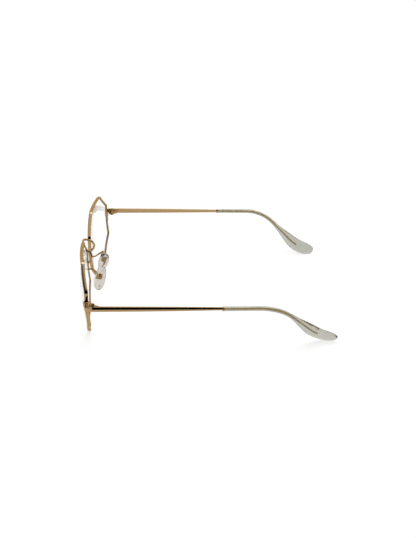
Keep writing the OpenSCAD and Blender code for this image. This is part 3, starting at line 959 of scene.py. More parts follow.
def solder_bead(foot: Vector, axis: Vector, wire_r: float, flare: float, height: float,
                lap: float = 0.03, sides: int = 24) -> Surface:
    """Concave bead of solder round the foot of a wire.

    Args:
        foot: Where the wire's middle meets the rim.
        axis: Unit vector along the wire, away from the rim.
        wire_r: The wire's radius.
        flare: How far the bead spreads beyond the wire.
        height: How far it climbs up the wire.
        lap: How far it reaches into the wire.
        sides: Points round it.

    Returns:
        A closed ring of solder.
    """
    side = axis.orthogonal().normalized()
    up = axis.cross(side)
    profile = [(wire_r + flare * (1 - sind(a)), height * (1 - cosd(a))) for a in range(0, 91, 15)]
    profile += [(wire_r - lap, height), (wire_r - lap, 0.0)]
    return Surface().loft([oval(foot + axis * h, side, up, r, r, sides) for r, h in profile], join=True)


@dataclass
class Bridge:
    """Bridge wire: an arch between the rims with a loop at each foot."""

    diameter: float = 1.3
    rise: float = 12.3
    bow: float = 2.5
    arch_foot: float = 9.6
    loop_foot: float = 2.4
    loop_back: float = 1.5
    loop_bend: float = 0.9
    seam: float = 0.02
    foot: float = 0.35
    # Shares of the loop's depth and height, and of the arch's reach, bow and climb
    loop_points: Table = ((0.1, 0.6, 0.15), (0.4, 1, 0.5))
    arch_points: Table = ((0.72, 0.55, 0.5), (0.36, 0.9, 0.9))
    steps: int = 12

    def path(self) -> list[Vector]:
        """The wire's middle line from the left rim to the right one.

        Returns:
            Its points, before the shift along Y.
        """
        at_foot = LENS.behind(-LENS.half_w, self.loop_foot, self.foot)
        outer = LENS.matrix() @ Vector((-LENS.half_w - LENS.rim_t / 2,
            LENS.sag(LENS.half_w, self.arch_foot) + LENS.rim_d / 2, self.arch_foot))
        beside = outer.x - self.diameter / 2 - 2 * self.seam
        top = LENS.matrix() @ Vector((-LENS.half_w, LENS.sag(LENS.half_w, 0), self.arch_foot))
        height, climb = self.arch_foot - self.loop_foot, self.rise - self.arch_foot
        half = [at_foot]
        half += [at_foot + Vector((-x, y * self.loop_back, z * height)) for x, y, z in self.loop_points]
        half += [Vector((beside, top.y + LENS.rim_d / 2 + self.loop_bend, top.z - self.loop_bend)),
            Vector((beside, top.y, top.z))]
        half += [Vector((x * beside, -y * self.bow, LENS.centre_z + self.arch_foot + z * climb))
            for x, y, z in self.arch_points]
        half.append(Vector((0, -self.bow, LENS.centre_z + self.rise)))
        other = [Vector((-p.x, p.y, p.z)) for p in reversed(half[:-1])]
        start = LENS.behind(-LENS.half_w, self.loop_foot, self.seam)
        return [start, *smooth_path(half + other, self.steps), Vector((-start.x, start.y, start.z))]

    def build(self) -> None:
        """Makes the bridge and seats it."""
        wire = RoundWire("bridge_wire", self.path(), self.diameter, Finish.PALE_GOLD)
        piece = closed("bridge_wire", wire.mesh(), Side.LEFT, Finish.PALE_GOLD, sharp=50)
        seat(piece, Body.FRONT.on(None), "gold_metal", "bridge")


# A pad's thickness from its plate to the nose, in half thicknesses, with the share of its outline there
PAD_PROFILE: Table = (
    (1.0, 0.46), (0.97, 0.55), (0.86, 0.61), (0.62, 0.67), (0.46, 0.73), (0.4, 0.82), (0.36, 0.9),
    (0.26, 0.96), (0.1, 0.99), (-0.08, 1.0), (-0.3, 0.975), (-0.5, 0.91), (-0.7, 0.8), (-0.84, 0.66),
    (-0.94, 0.47), (-1.0, 0.22),
)


@dataclass
class PadFitting:
    """Nose pad of one side with its arm, box and plate, and the place of its screw."""

    side: Side
    height: float = 14.5
    width: float = 6.6
    thickness: float = 2.3
    x: float = 11.4
    y: float = 8.0
    drop: float = 6.6
    lean: float = 20.0
    pitch: float = 9.0
    splay: float = 12.0
    box_rise: float = 1.3
    box_wall: float = 0.6
    tab_gap: float = 0.15
    tab_t: float = 1.3
    tab_r: float = 0.9
    plate_t: float = 0.4
    axis_back: float = 1.3
    arm_d: float = 1.0
    arm_drop: float = 2.2
    foot: float = 0.35
    seam: float = 0.02
    # Bends of the arm: from its foot in the glasses' frame, and from the box (outwards, up) in the pad's
    foot_bends: Table = ((0.1, 1.2, 0.1), (2.6, 3.1, 0.3))
    box_bends: Table = ((1.5, 1.6), (1.1, 0.3))
    steps: int = 12
    pad_sides: int = 56
    fullness: float = 2.3
    # The plate's border, beyond this radius and up to this far behind it, is drawn in to this share
    border_r: float = 1.3
    border_lap: float = 0.05
    border_share: float = 0.7
    box_edge: float = 0.12
    plate_edge: float = 0.1

    def matrix(self) -> Matrix:
        """Places the pad's frame (outwards, along the screw, up) in the glasses.

        Returns:
            The matrix, before the shift along Y.
        """
        turn = Matrix.Rotation(math.radians(-self.splay), 4, "Z")
        turn = turn @ Matrix.Rotation(math.radians(-self.lean), 4, "Y")
        turn = turn @ Matrix.Rotation(math.radians(-self.pitch), 4, "X")
        return Matrix.Translation((self.x, self.y, LENS.centre_z - self.drop)) @ turn

    @property
    def tab_axis(self) -> float:
        """Distance of the screw's axis from the pad's middle plane."""
        return self.thickness / 2 + self.plate_t + self.axis_back

    @property
    def box_back(self) -> float:
        """Distance of the box's back from the pad's middle plane."""
        return self.tab_axis + self.tab_r + self.tab_gap + self.box_wall

    @property
    def box_half_w(self) -> float:
        """Half width of the box along the screw."""
        return self.tab_t / 2 + self.tab_gap + self.box_wall

    def pad(self) -> None:
        """Makes the soft pad: a lens-like oval, flatter against the plate."""
        to_left = self.matrix()
        rings = []
        for place, share in PAD_PROFILE:
            ring = oval(Vector((place * self.thickness / 2, 0, 0)), Vector((0, 1, 0)), Vector((0, 0, 1)),
                self.width / 2 * share, self.height / 2 * share, self.pad_sides, self.fullness)
            rings.append([to_left @ p for p in ring])
        piece = solid(self.side.of("pad_silicone"), Surface().loft(rings), self.side,
            Finish.SILICONE, sharp=60)
        seat(piece, Body.PAD.on(self.side), "nose_pad", self.side.of("nose_pad"))

    def arm(self) -> None:
        """Makes the bent wire from rim to box."""
        to_left = self.matrix()
        foot = LENS.behind(-LENS.half_w, -self.arm_drop, self.foot)
        points = [foot, *[foot + Vector(bend) for bend in self.foot_bends]]
        points += [to_left @ Vector((self.box_back + x, 0, self.box_rise + z)) for x, z in self.box_bends]
        points.append(to_left @ Vector((self.box_back + self.foot, 0, self.box_rise)))
        start = LENS.behind(-LENS.half_w, -self.arm_drop, self.seam)
        end = to_left @ Vector((self.box_back + self.seam, 0, self.box_rise))
        path = [start, *smooth_path(points, self.steps), end]
        wire = RoundWire("pad_wire", path, self.arm_d, Finish.PALE_GOLD)
        piece = closed(self.side.of("pad_wire"), wire.mesh(), self.side, Finish.PALE_GOLD, sharp=50)
        seat(piece, Body.FRONT.on(None), "gold_metal", self.side.of("pad_arm"))

    def small_plate(self, point: Vector) -> Vector:
        """Draws the plate's border in, so that little of it shows through the clear pad.

        Args:
            point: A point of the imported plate, in millimetres on the left.

        Returns:
            The point, moved if it is on the border.
        """
        place = self.matrix()
        local = place.inverted() @ point
        across = Vector((local.y, local.z - self.box_rise))
        if across.length > self.border_r and local.x < self.thickness / 2 + self.plate_t + self.border_lap:
            share = self.border_share
            local = Vector((local.x, share * across.x, self.box_rise + share * across.y))
        return place @ local

    def build(self) -> None:
        """Makes the pad, its arm, its box and its plate."""
        self.pad()
        self.arm()
        soften(self.side, "pad_box", "pad_box_shell", Body.FRONT, Finish.DEEP_GOLD, self.box_edge)
        soften(self.side, "pad_plate", "pad_plate_tab", Body.PAD, Finish.DEEP_GOLD, self.plate_edge,
            shape=self.small_plate)


def soften(side: Side, node: str, name: str, body: Body, finish: Finish, width: float,
           shape: Optional[Callable[[Vector], Vector]] = None) -> None:
    """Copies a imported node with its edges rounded, as tumbling and plating leave them.

    Args:
        side: The side of the node.
        node: The node's name without its side.
        name: The new piece's name without its side.
        body: The body that it rides on.
        finish: Its finish.
        width: Width of the rounding in millimetres.
        shape: Moves a point of the left side, in millimetres before the shift, or None.
    """
    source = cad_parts[side.of(node)]
    work = bmesh.new()
    work.from_mesh(source.data)
    bmesh.ops.remove_doubles(work, verts=work.verts, dist=PACKED_MERGE_MM * MM)
    bmesh.ops.dissolve_limit(work, angle_limit=math.radians(PACKED_FLAT), verts=work.verts, edges=work.edges)
    bmesh.ops.recalc_face_normals(work, faces=work.faces)
    if shape:
        for vert in work.verts:
            here = vert.co / MM
            vert.co = settled(shape(Vector((here.x * side.value, here.y - SHIFT, here.z))), side)
    mesh = bpy.data.meshes.new(side.of(name))
    work.to_mesh(mesh)
    work.free()
    piece = dressed(side.of(name), mesh, finish, PACKED_EDGE)
    bevel = piece.modifiers.new("round edges", "BEVEL")
    bevel.width = width * MM
    bevel.segments = ROUND_FACES
    bevel.limit_method = "ANGLE"
    bevel.angle_limit = math.radians(PACKED_EDGE)
    made = bpy.data.meshes.new_from_object(piece.evaluated_get(bpy.context.evaluated_depsgraph_get()))
    piece.modifiers.clear()
    piece.data = made
    made.shade_smooth()
    made.set_sharp_from_angle(angle=math.radians(PACKED_EDGE))
    seat(piece, body.on(side), "gold_metal", side.of(node))


@dataclass
class Screws:
    """A pair of slotted screws, left and right, made by one geometry tree."""

    name: str
    node: str
    shank_r: float
    length: float
    head_lip: float = 0.35
    head_h: float = 0.4
    slot_w: float = 0.25
    slot_depth: float = 0.2
    slot_turn: float = 0.0
    shank_sides: int = 32
    head_sides: int = 48
    # Share of the head's height that is chamfered
    chamfer: float = 0.35

    def tree(self) -> bpy.types.NodeTree:
        """Geometry tree of slotted screws on points, each turned to its axis.

        Returns:
            The tree, with the screw's sizes as inputs.
        """
        name = "slotted_screws"
        if name in bpy.data.node_groups:
            return bpy.data.node_groups[name]
        sizes = ("Shank Radius", "Length", "Head Radius", "Head Height", "Slot Width", "Slot Depth")
        tree, start = new_tree(name, {**{s: ("NodeSocketFloat", 0.5) for s in sizes},
            "Slot Turn": ("NodeSocketFloat", 0.0), "Material": ("NodeSocketMaterial", None)})

        def lifted(mesh: Any, z: Any) -> bpy.types.Node:
            """Moves a mesh along Z."""
            way = add_node(tree, "ShaderNodeCombineXYZ", {2: z})
            return add_node(tree, "GeometryNodeTransform", {"Geometry": mesh, "Translation": way})

        shank = add_node(tree, "GeometryNodeMeshCylinder",
            {"Vertices": self.shank_sides, "Radius": start["Shank Radius"], "Depth": start["Length"]})
        shank = lifted(shank.outputs["Mesh"], calc(tree, "MULTIPLY", start["Length"], -0.5))
        edge_h = calc(tree, "MULTIPLY", start["Head Height"], self.chamfer)
        base_h = calc(tree, "SUBTRACT", start["Head Height"], edge_h)
        base = add_node(tree, "GeometryNodeMeshCylinder",
            {"Vertices": self.head_sides, "Radius": start["Head Radius"], "Depth": base_h})
        base = lifted(base.outputs["Mesh"], calc(tree, "MULTIPLY", base_h, 0.5))
        top_r = calc(tree, "SUBTRACT", start["Head Radius"], edge_h)
        chamfer = add_node(tree, "GeometryNodeMeshCone", {"Vertices": self.head_sides, "Radius Top": top_r,
            "Radius Bottom": start["Head Radius"], "Depth": edge_h})
        chamfer = lifted(chamfer.outputs["Mesh"], base_h)
        # The cutter stands out over the head on both sides and above
        size = add_node(tree, "ShaderNodeCombineXYZ", {0: calc(tree, "MULTIPLY", start["Head Radius"], 3.0),
            1: start["Slot Width"], 2: calc(tree, "MULTIPLY", start["Slot Depth"], 2.0)})
        cutter = add_node(tree, "GeometryNodeMeshCube", {"Size": size})
        cutter = lifted(cutter.outputs["Mesh"], start["Head Height"])
        turn = add_node(tree, "ShaderNodeCombineXYZ", {2: start["Slot Turn"]})
        cutter = add_node(tree, "GeometryNodeTransform", {"Geometry": cutter, "Rotation": turn})
        head = add_node(tree, "GeometryNodeMeshBoolean", operation="UNION")
        for part in (base, chamfer, shank):
            tree.links.new(part.outputs[0], head.inputs["Mesh 2"])
        cut = add_node(tree, "GeometryNodeMeshBoolean", {"Mesh 1": head.outputs["Mesh"], "Mesh 2": cutter},
            operation="DIFFERENCE")
        axis = add_node(tree, "GeometryNodeInputNamedAttribute", {"Name": "axis"}, data_type="FLOAT_VECTOR")
        aligned = add_node(tree, "FunctionNodeAlignRotationToVector", {"Vector": axis.outputs[0]}, axis="Z")
        placed = add_node(tree, "GeometryNodeInstanceOnPoints",
            {"Points": start["Geometry"], "Instance": cut.outputs["Mesh"], "Rotation": aligned})
        end_tree(tree, placed, start["Material"])
        return tree

    def build(self, seat_point: Vector, axis: Vector) -> None:
        """Makes both screws and seats them on the front.

        Args:
            seat_point: Underside of the left screw's head, before the shift along Y.
            axis: Unit vector out of its head.
        """
        points = [settled(seat_point, side) for side in Side]
        mesh = bpy.data.meshes.new("screw_points")
        mesh.from_pydata(points, [], [])
        axes = [c for side in Side for c in (axis.x * side.value, axis.y, axis.z)]
        mesh.attributes.new("axis", "FLOAT_VECTOR", "POINT").data.foreach_set("vector", axes)
        made = grown(self.name, mesh, self.tree(), {
            "Shank Radius": self.shank_r * MM, "Length": self.length * MM,
            "Head Radius": (self.shank_r + self.head_lip) * MM, "Head Height": self.head_h * MM,
            "Slot Width": self.slot_w * MM, "Slot Depth": self.slot_depth * MM,
            "Slot Turn": math.radians(self.slot_turn), "Material": Finish.SCREW.material()})
        piece = dressed(self.name, made, Finish.SCREW, sharp=30)
        seat(piece, Body.FRONT.on(None), "screws", *[side.of(self.node) for side in Side])


# ------------------------------------------------------------------ temples


@dataclass
class Temple:
    """Arm, core, collar and clear tip of one side along one bent middle line, and the arm's hinge half."""

    side: Side
    length: float = 143.0
    step: float = 0.5
    seam: float = 0.02
    # The arm's section at the hinge and at the collar, and how much its middle is above a straight taper
    arm_h: float = 3.0
    arm_t: float = 1.6
    arm_end_h: float = 1.7
    arm_end_t: float = 1.2
    arm_belly: float = 0.25
    # The arm's edges at the hinge, with the shares of the ring that rounds them, and at the collar
    arm_edge: float = 0.14
    edge_run: float = 0.3
    edge_trim: float = 0.35
    arm_end_edge: float = 0.08
    arm_end_run: float = 0.2
    arm_rings: int = 60
    # The middle line: places along it, and its drops and turns in degrees
    ear_start: float = 89.5
    ear_arc: float = 20.0
    ear_drop: float = 40.0
    ear_turn: float = 21.5
    ear_straight: float = 15.5
    end_drop: float = 5.0
    end_turn: float = 6.0
    arm_turn: float = 1.0
    arm_rise: float = 0.6
    # The collar stands proud of the tip and has a groove round its middle
    tip_start: float = 69.5
    collar_len: float = 1.2
    collar_proud: float = 0.03
    collar_edge: float = 0.12
    groove_depth: float = 0.07
    groove_half: float = 0.1
    # The tip is a tube that widens to a leaning paddle with a round end
    tip_d: float = 2.5
    tip_sides: int = 36
    fullness: float = 2.3
    paddle_w: float = 8.1
    paddle_t: float = 2.4
    paddle_len: float = 36.0
    paddle_full: float = 10.0
    paddle_round: float = 8.0
    paddle_sweep: float = 0.15
    paddle_lean: float = 25.0
    round_steps: int = 14
    least_share: float = 0.004
    # The core: its section in the paddle, its share of that in the tube, and its ends
    core_h: float = 1.05
    core_t: float = 0.85
    core_thin: float = 0.76
    core_lap: float = 0.4
    core_round: float = 0.45
    core_short: float = 12.0
    core_rings: int = 70
    core_sides: int = 24
    # The hinge's plate: its length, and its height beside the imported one's at the hinge and less at its end
    leaf_len: float = 2.4
    leaf_high: float = 1.15
    leaf_taper: float = 0.45
    leaf_edge: float = 0.1

    def __post_init__(self) -> None:
        """Walks the middle line and fits its drop to the ground."""
        self.ear_full = self.ear_start + self.ear_arc
        self.ear_end = self.ear_full + self.ear_straight
        self.tip_from = self.tip_start + self.collar_len + self.seam
        self.core_to = self.length - self.core_short
        point = Vector((HINGE.arm_x, HINGE.seam_y + HINGE.gap, 0))
        self.free_line = [point.copy()]
        for i in range(1, int(self.length / self.step) + 1):
            point = point + self.step * self.heading((i - 0.5) * self.step)
            self.free_line.append(point)
        self.drop_fit = min((HINGE.z - self.reach_down(s)) / -self.on_free_line(s).z
            for s in self.tip_stations() if s > self.ear_end)

    def slope(self, s: float) -> float:
        """Slope of the middle line downwards, in degrees."""
        return lookup(s, ((self.ear_start, -self.arm_rise), (self.ear_full, self.ear_drop),
            (self.ear_end, self.ear_drop), (self.length, self.end_drop)))

    def turn(self, s: float) -> float:
        """Turn of the middle line towards the head, in degrees."""
        return lookup(s, ((0, 0), (self.ear_start, self.arm_turn), (self.ear_full, self.ear_turn),
            (self.ear_end, self.ear_turn), (self.length, -self.end_turn)))

    def heading(self, s: float) -> Vector:
        """Direction of the middle line."""
        down, turn = self.slope(s), self.turn(s)
        return Vector((-sind(turn) * cosd(down), cosd(turn) * cosd(down), -sind(down)))

    def across(self, s: float) -> Vector:
        """Level direction away from the head."""
        return Vector((cosd(self.turn(s)), sind(self.turn(s)), 0))

    def upwards(self, s: float) -> Vector:
        """Direction square to both."""
        return self.across(s).cross(self.heading(s))

    def on_free_line(self, s: float) -> Vector:
        """Finds a point of the middle line before its drop is fitted.

        Args:
            s: Distance along the line.

        Returns:
            The point.
        """
        i = min(len(self.free_line) - 2, int(s / self.step))
        t = s / self.step - i
        return self.free_line[i] * (1 - t) + self.free_line[i + 1] * t

    def on_line(self, s: float) -> Vector:
        """Point of the middle line."""
        p = self.on_free_line(s)
        return Vector((p.x, p.y, HINGE.z + p.z * self.drop_fit))

    def widening(self, s: float) -> float:
        """Share of the paddle's width reached at a place."""
        return eased((s - self.length + self.paddle_len) / (self.paddle_len - self.paddle_full))

    def tip_ring(self, s: float, centre: Vector) -> Ring:
        """Makes one ring of the tip's skin.

        Args:
            s: Distance along the middle line.
            centre: The ring's middle.

        Returns:
            The ring.
        """
        t = clip((s - self.length + self.paddle_round) / self.paddle_round)
        share = math.sqrt(max(self.least_share, 1 - t * t))
        wide = self.widening(s)
        half_w = (self.tip_d + (self.paddle_w - self.tip_d) * wide) / 2 * share
        half_t = (self.tip_d + (self.paddle_t - self.tip_d) * wide) / 2 * math.sqrt(share)
        lean = self.paddle_lean * wide
        up, side = self.upwards(s), self.across(s)
        tip_up, tip_side = cosd(lean) * up + sind(lean) * side, cosd(lean) * side - sind(lean) * up
        centre = centre + tip_up * (self.paddle_sweep * half_w * (1 / share - 1))
        return oval(centre, tip_side, tip_up, half_t, half_w, self.tip_sides, self.fullness)

    def reach_down(self, s: float) -> float:
        """How far the tip reaches below its middle line."""
        return -min(p.z for p in self.tip_ring(s, Vector((0, 0, 0))))

    def tip_stations(self) -> list[float]:
        """Places of the tip's rings, close together at its round end.

        Returns:
            Distances along the middle line.
        """
        round_from = self.length - self.paddle_round
        count = int(round_from - self.tip_from)
        even = [self.tip_from + (round_from - self.tip_from) * k / count for k in range(count)]
        return even + [self.length - self.paddle_round * (1 - sind(90 * k / self.round_steps))
            for k in range(self.round_steps + 1)]

    def core_ring(self, s: float, share: float) -> Ring:
        """Ring of the metal core, thinned by a share."""
        return oval(self.on_line(s), self.across(s), self.upwards(s), self.core_t / 2 * share,
            self.core_h / 2 * share, self.core_sides)

    def arm_ring(self, s: float, trim: float = 0.0) -> Ring:
        """Makes one ring of the tapering arm.

        Args:
            s: Distance along the middle line.
            trim: How much smaller it is on each side.

        Returns:
            The ring.
        """
        t = s / self.tip_start
        height = self.arm_h + (self.arm_end_h - self.arm_h) * t + 4 * self.arm_belly * t * (1 - t)
        return [self.on_line(s) + self.across(s) * x + self.upwards(s) * z for x, z in ridged_section(
            self.arm_t + (self.arm_end_t - self.arm_t) * t - 2 * trim, height - 2 * trim)]

    def arm(self) -> None:
        """Makes the tapering arm up to the collar."""
        start, end = self.arm_edge, self.tip_start - self.seam
        rings = [self.arm_ring(0, start), self.arm_ring(start * self.edge_run, start * self.edge_trim),
            self.arm_ring(start)]
        rings += [self.arm_ring(start + (end - self.arm_end_run - start) * k / self.arm_rings)
            for k in range(1, self.arm_rings + 1)]
        rings.append(self.arm_ring(end, self.arm_end_edge))
        piece = solid(self.side.of("arm_metal"), Surface().loft(rings), self.side, Finish.PALE_GOLD, sharp=40)
        seat(piece, Body.TEMPLE.on(self.side), "gold_metal", self.side.of("temple_arm"))

    def core(self) -> None:
        """Makes the core on which the tip is pushed, from the arm's end to its own round end."""
        first, last = self.tip_start - self.core_lap, self.core_to - self.core_round
        rings = []
        for k in range(self.core_rings + 1):
            s = first + (last - first) * k / self.core_rings
            rings.append(self.core_ring(s, self.core_thin + (1 - self.core_thin) * self.widening(s)))
        rings += [self.core_ring(last + self.core_round * sind(a), cosd(a)) for a in (20, 40, 60, 78)]
        piece = solid(self.side.of("core_wire"), Surface().loft(rings), self.side, Finish.CORE, sharp=50)
        seat(piece, Body.TEMPLE.on(self.side), "gold_metal")

    def collar(self) -> None:
        """Makes the turned collar, with a fine groove."""
        middle = self.tip_start + self.collar_len / 2
        r, half, edge = self.tip_d / 2 + self.collar_proud, self.collar_len / 2, self.collar_edge
        inset = edge * self.edge_run
        end = [(half - edge, r), (half - inset, r - inset), (half, r - edge), (half, self.core_h / 2)]
        groove = [(-self.groove_half, r), (0, r - self.groove_depth), (self.groove_half, r)]
        profile = [(-along, out) for along, out in reversed(end)] + groove + end
        point, axis = self.on_line(middle), self.heading(middle)
        side, up = self.across(middle), self.upwards(middle)
        rings = [oval(point + axis * along, side, up, out, out, self.tip_sides) for along, out in profile]
        piece = solid(self.side.of("collar_ring"), Surface().loft(rings, join=True), self.side,
            Finish.PALE_GOLD, sharp=30)
        seat(piece, Body.TEMPLE.on(self.side), "gold_metal", self.side.of("tip_collar"))

    def tip(self) -> None:
        """Makes the clear tip, which closes round the core without a gap that shows."""
        rings = [self.tip_ring(s, self.on_line(s)) for s in self.tip_stations()]
        piece = solid(self.side.of("tip_acetate"), Surface().loft(rings), self.side, Finish.ACETATE, sharp=50)
        seat(piece, Body.TEMPLE.on(self.side), "temple_tip", self.side.of("temple_tip"))

    def wedge_leaf(self, point: Vector) -> Vector:
        """Lets the hinge's plate run out along the arm as a wedge.

        Args:
            point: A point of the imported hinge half, in millimetres on the left.

        Returns:
            The point, moved if it is on the plate.
        """
        along = (point.y - HINGE.seam_y - HINGE.leaf_gap) / self.leaf_len
        if along < -self.seam:
            return point
        height = (point.z - HINGE.z) * (self.leaf_high - self.leaf_taper * along)
        return Vector((point.x, point.y, HINGE.z + height))

    def build(self) -> None:
        """Makes arm, core, collar, tip and the hinge half on the arm."""
        self.arm()
        self.core()
        self.collar()
        self.tip()
        soften(self.side, "temple_hinge", "temple_knuckle", Body.TEMPLE, Finish.DEEP_GOLD, self.leaf_edge,
            shape=self.wedge_leaf)


@dataclass
class EndPiece:
    """Flat strip from the rim round the corner to the hinge, with the round block that joins it."""

    side: Side
    strip_h: float = 2.9
    corner_r: float = 1.7
    block_r: float = 1.7
    block_h: float = 3.0
    block_sides: int = 40
    edge: float = 0.45
    # Two small rings close each flat end of the block
    cap_radii: Span = (0.02, 0.5)
    corner_steps: int = 12
    # The strip starts this far outside the rim's middle line and is straight up to this far before its bend
    rim_lap: float = 0.3
    bend_lead: float = 0.6
    # Its end at the hinge: how much smaller it gets, and over which length
    end_trim: float = 0.14
    end_edge: float = 0.12

    def strip(self) -> Surface:
        """Sweeps the strip's section round the corner.

        Returns:
            The closed surface.
        """
        start = (LENS.matrix() @ Vector((LENS.half_w + self.rim_lap, 0, HINGE.rise))).x
        bend = Vector((HINGE.arm_x - self.corner_r, HINGE.strip_y + self.corner_r, HINGE.z))
        stations = [(Vector((x, HINGE.strip_y, HINGE.z)), Vector((0, -1, 0)))
            for x in (start, bend.x - self.bend_lead)]
        for k in range(self.corner_steps + 1):
            angle = 90 / self.corner_steps * k
            out = Vector((sind(angle), -cosd(angle), 0))
            stations.append((bend + self.corner_r * out, out))
        stations += [(Vector((HINGE.arm_x, y, HINGE.z)), Vector((1, 0, 0)))
            for y in (HINGE.seam_y - self.end_edge, HINGE.seam_y)]
        trims = [0.0] * (len(stations) - 1) + [self.end_trim]
        return Surface().loft([[middle + out * x + Vector((0, 0, z))
            for x, z in ridged_section(HINGE.strip_t - trim, self.strip_h - trim, ridge=False)]
            for (middle, out), trim in zip(stations, trims)])

    def block(self, surface: Surface) -> None:
        """Adds the round block with its rounded edges.

        Args:
            surface: The surface that it joins.
        """
        middle = Vector(((LENS.matrix() @ Vector((LENS.half_w + LENS.rim_t / 2, 0, HINGE.rise))).x,
            HINGE.strip_y, HINGE.z))
        half = self.block_h / 2
        profile = [(-half, r) for r in self.cap_radii]
        profile += [(-half + self.edge * (1 - cosd(a)), self.block_r - self.edge * (1 - sind(a)))
            for a in range(0, 91, 15)]
        profile += [(-h, r) for h, r in reversed(profile)]
        level = Vector((1, 0, 0)), Vector((0, 1, 0))
        surface.loft([oval(middle + Vector((0, 0, h)), *level, r, r, self.block_sides) for h, r in profile])

    def build(self) -> None:
        """Makes the end piece and seats it."""
        surface = self.strip()
        self.block(surface)
        piece = solid(self.side.of("end_strip"), surface, self.side, Finish.PALE_GOLD, sharp=50)
        seat(piece, Body.FRONT.on(None), "gold_metal", self.side.of("end_piece"))


@dataclass
class Front:
    """Rims, lenses, bridge, end pieces, locks and all that is soldered or screwed to them."""

    lock_drop: float = 3.4
    lock_h: float = 3.2
    lock_w: float = 1.9
    lock_edge: float = 0.14
    hinge_h: float = 3.6
    hinge_edge: float = 0.1
    hinge_screw_r: float = 0.6
    lock_screw_r: float = 0.5
    pad_screw_r: float = 0.45
    bead_flare: float = 0.2
    bead_h: float = 0.45
    bead_lap: float = 0.01

    def build(self) -> None:
        """Makes the front from rims to screws."""
        pads = [PadFitting(side) for side in Side]
        for side in Side:
            Rim(side, split_v=HINGE.rise - self.lock_drop).build()
            Lens(side).build()
            EndPiece(side).build()
            soften(side, "rim_lock", "lock_blocks", Body.FRONT, Finish.PALE_GOLD, self.lock_edge)
            soften(side, "front_hinge", "front_knuckles", Body.FRONT, Finish.DEEP_GOLD, self.hinge_edge)
        for pad in pads:
            pad.build()
        bridge = Bridge()
        bridge.build()
        self.beads(bridge, pads[0])
        self.screws(pads[0])

    def beads(self, bridge: Bridge, pad: PadFitting) -> None:
        """Makes the solder at the feet of bridge and pad arms.

        Args:
            bridge: The bridge.
            pad: The left pad's fitting.
        """
        wires = ((bridge.loop_foot, bridge.diameter / 2), (-pad.arm_drop, pad.arm_d / 2))
        for side in Side:
            both = Surface()
            for height, wire_r in wires:
                foot = LENS.behind(-LENS.half_w, height, self.bead_lap)
                axis = (LENS.behind(-LENS.half_w, height, 1) - foot).normalized()
                both.add(solder_bead(foot, axis, wire_r, self.bead_flare, self.bead_h))
            piece = solid(side.of("solder_beads"), both, side, Finish.DEEP_GOLD, sharp=60)
            seat(piece, Body.FRONT.on(None), "gold_metal")

    def screws(self, pad: PadFitting) -> None:
        """Makes the three pairs of screws.

        Args:
            pad: The left pad's fitting.
        """
        top = Vector((HINGE.axis_x, HINGE.seam_y, HINGE.z + self.hinge_h / 2))
        hinge = Screws("hinge_screws", "hinge_screw", self.hinge_screw_r, self.hinge_h, slot_turn=35)
        hinge.build(top, Vector((0, 0, 1)))
        lens_frame, lock_v = LENS.matrix(), HINGE.rise - self.lock_drop
        under = lens_frame @ Vector((LENS.half_w + LENS.rim_t / 2 + self.lock_w / 2,
            LENS.sag(LENS.half_w, lock_v), lock_v - self.lock_h / 2))
        lock = Screws("lock_screws", "lock_screw", self.lock_screw_r, self.lock_h, slot_turn=70)
        lock.build(under, (lens_frame.to_3x3() @ Vector((0, 0, -1))).normalized())
        pad_frame = pad.matrix()
        beside = pad_frame @ Vector((pad.tab_axis, pad.box_half_w, pad.box_rise))
        box = Screws("pad_screws", "pad_screw", self.pad_screw_r, 2 * pad.box_half_w, slot_turn=15)
        box.build(beside, (pad_frame.to_3x3() @ Vector((0, 1, 0))).normalized())


# ------------------------------------------------------------------ studio


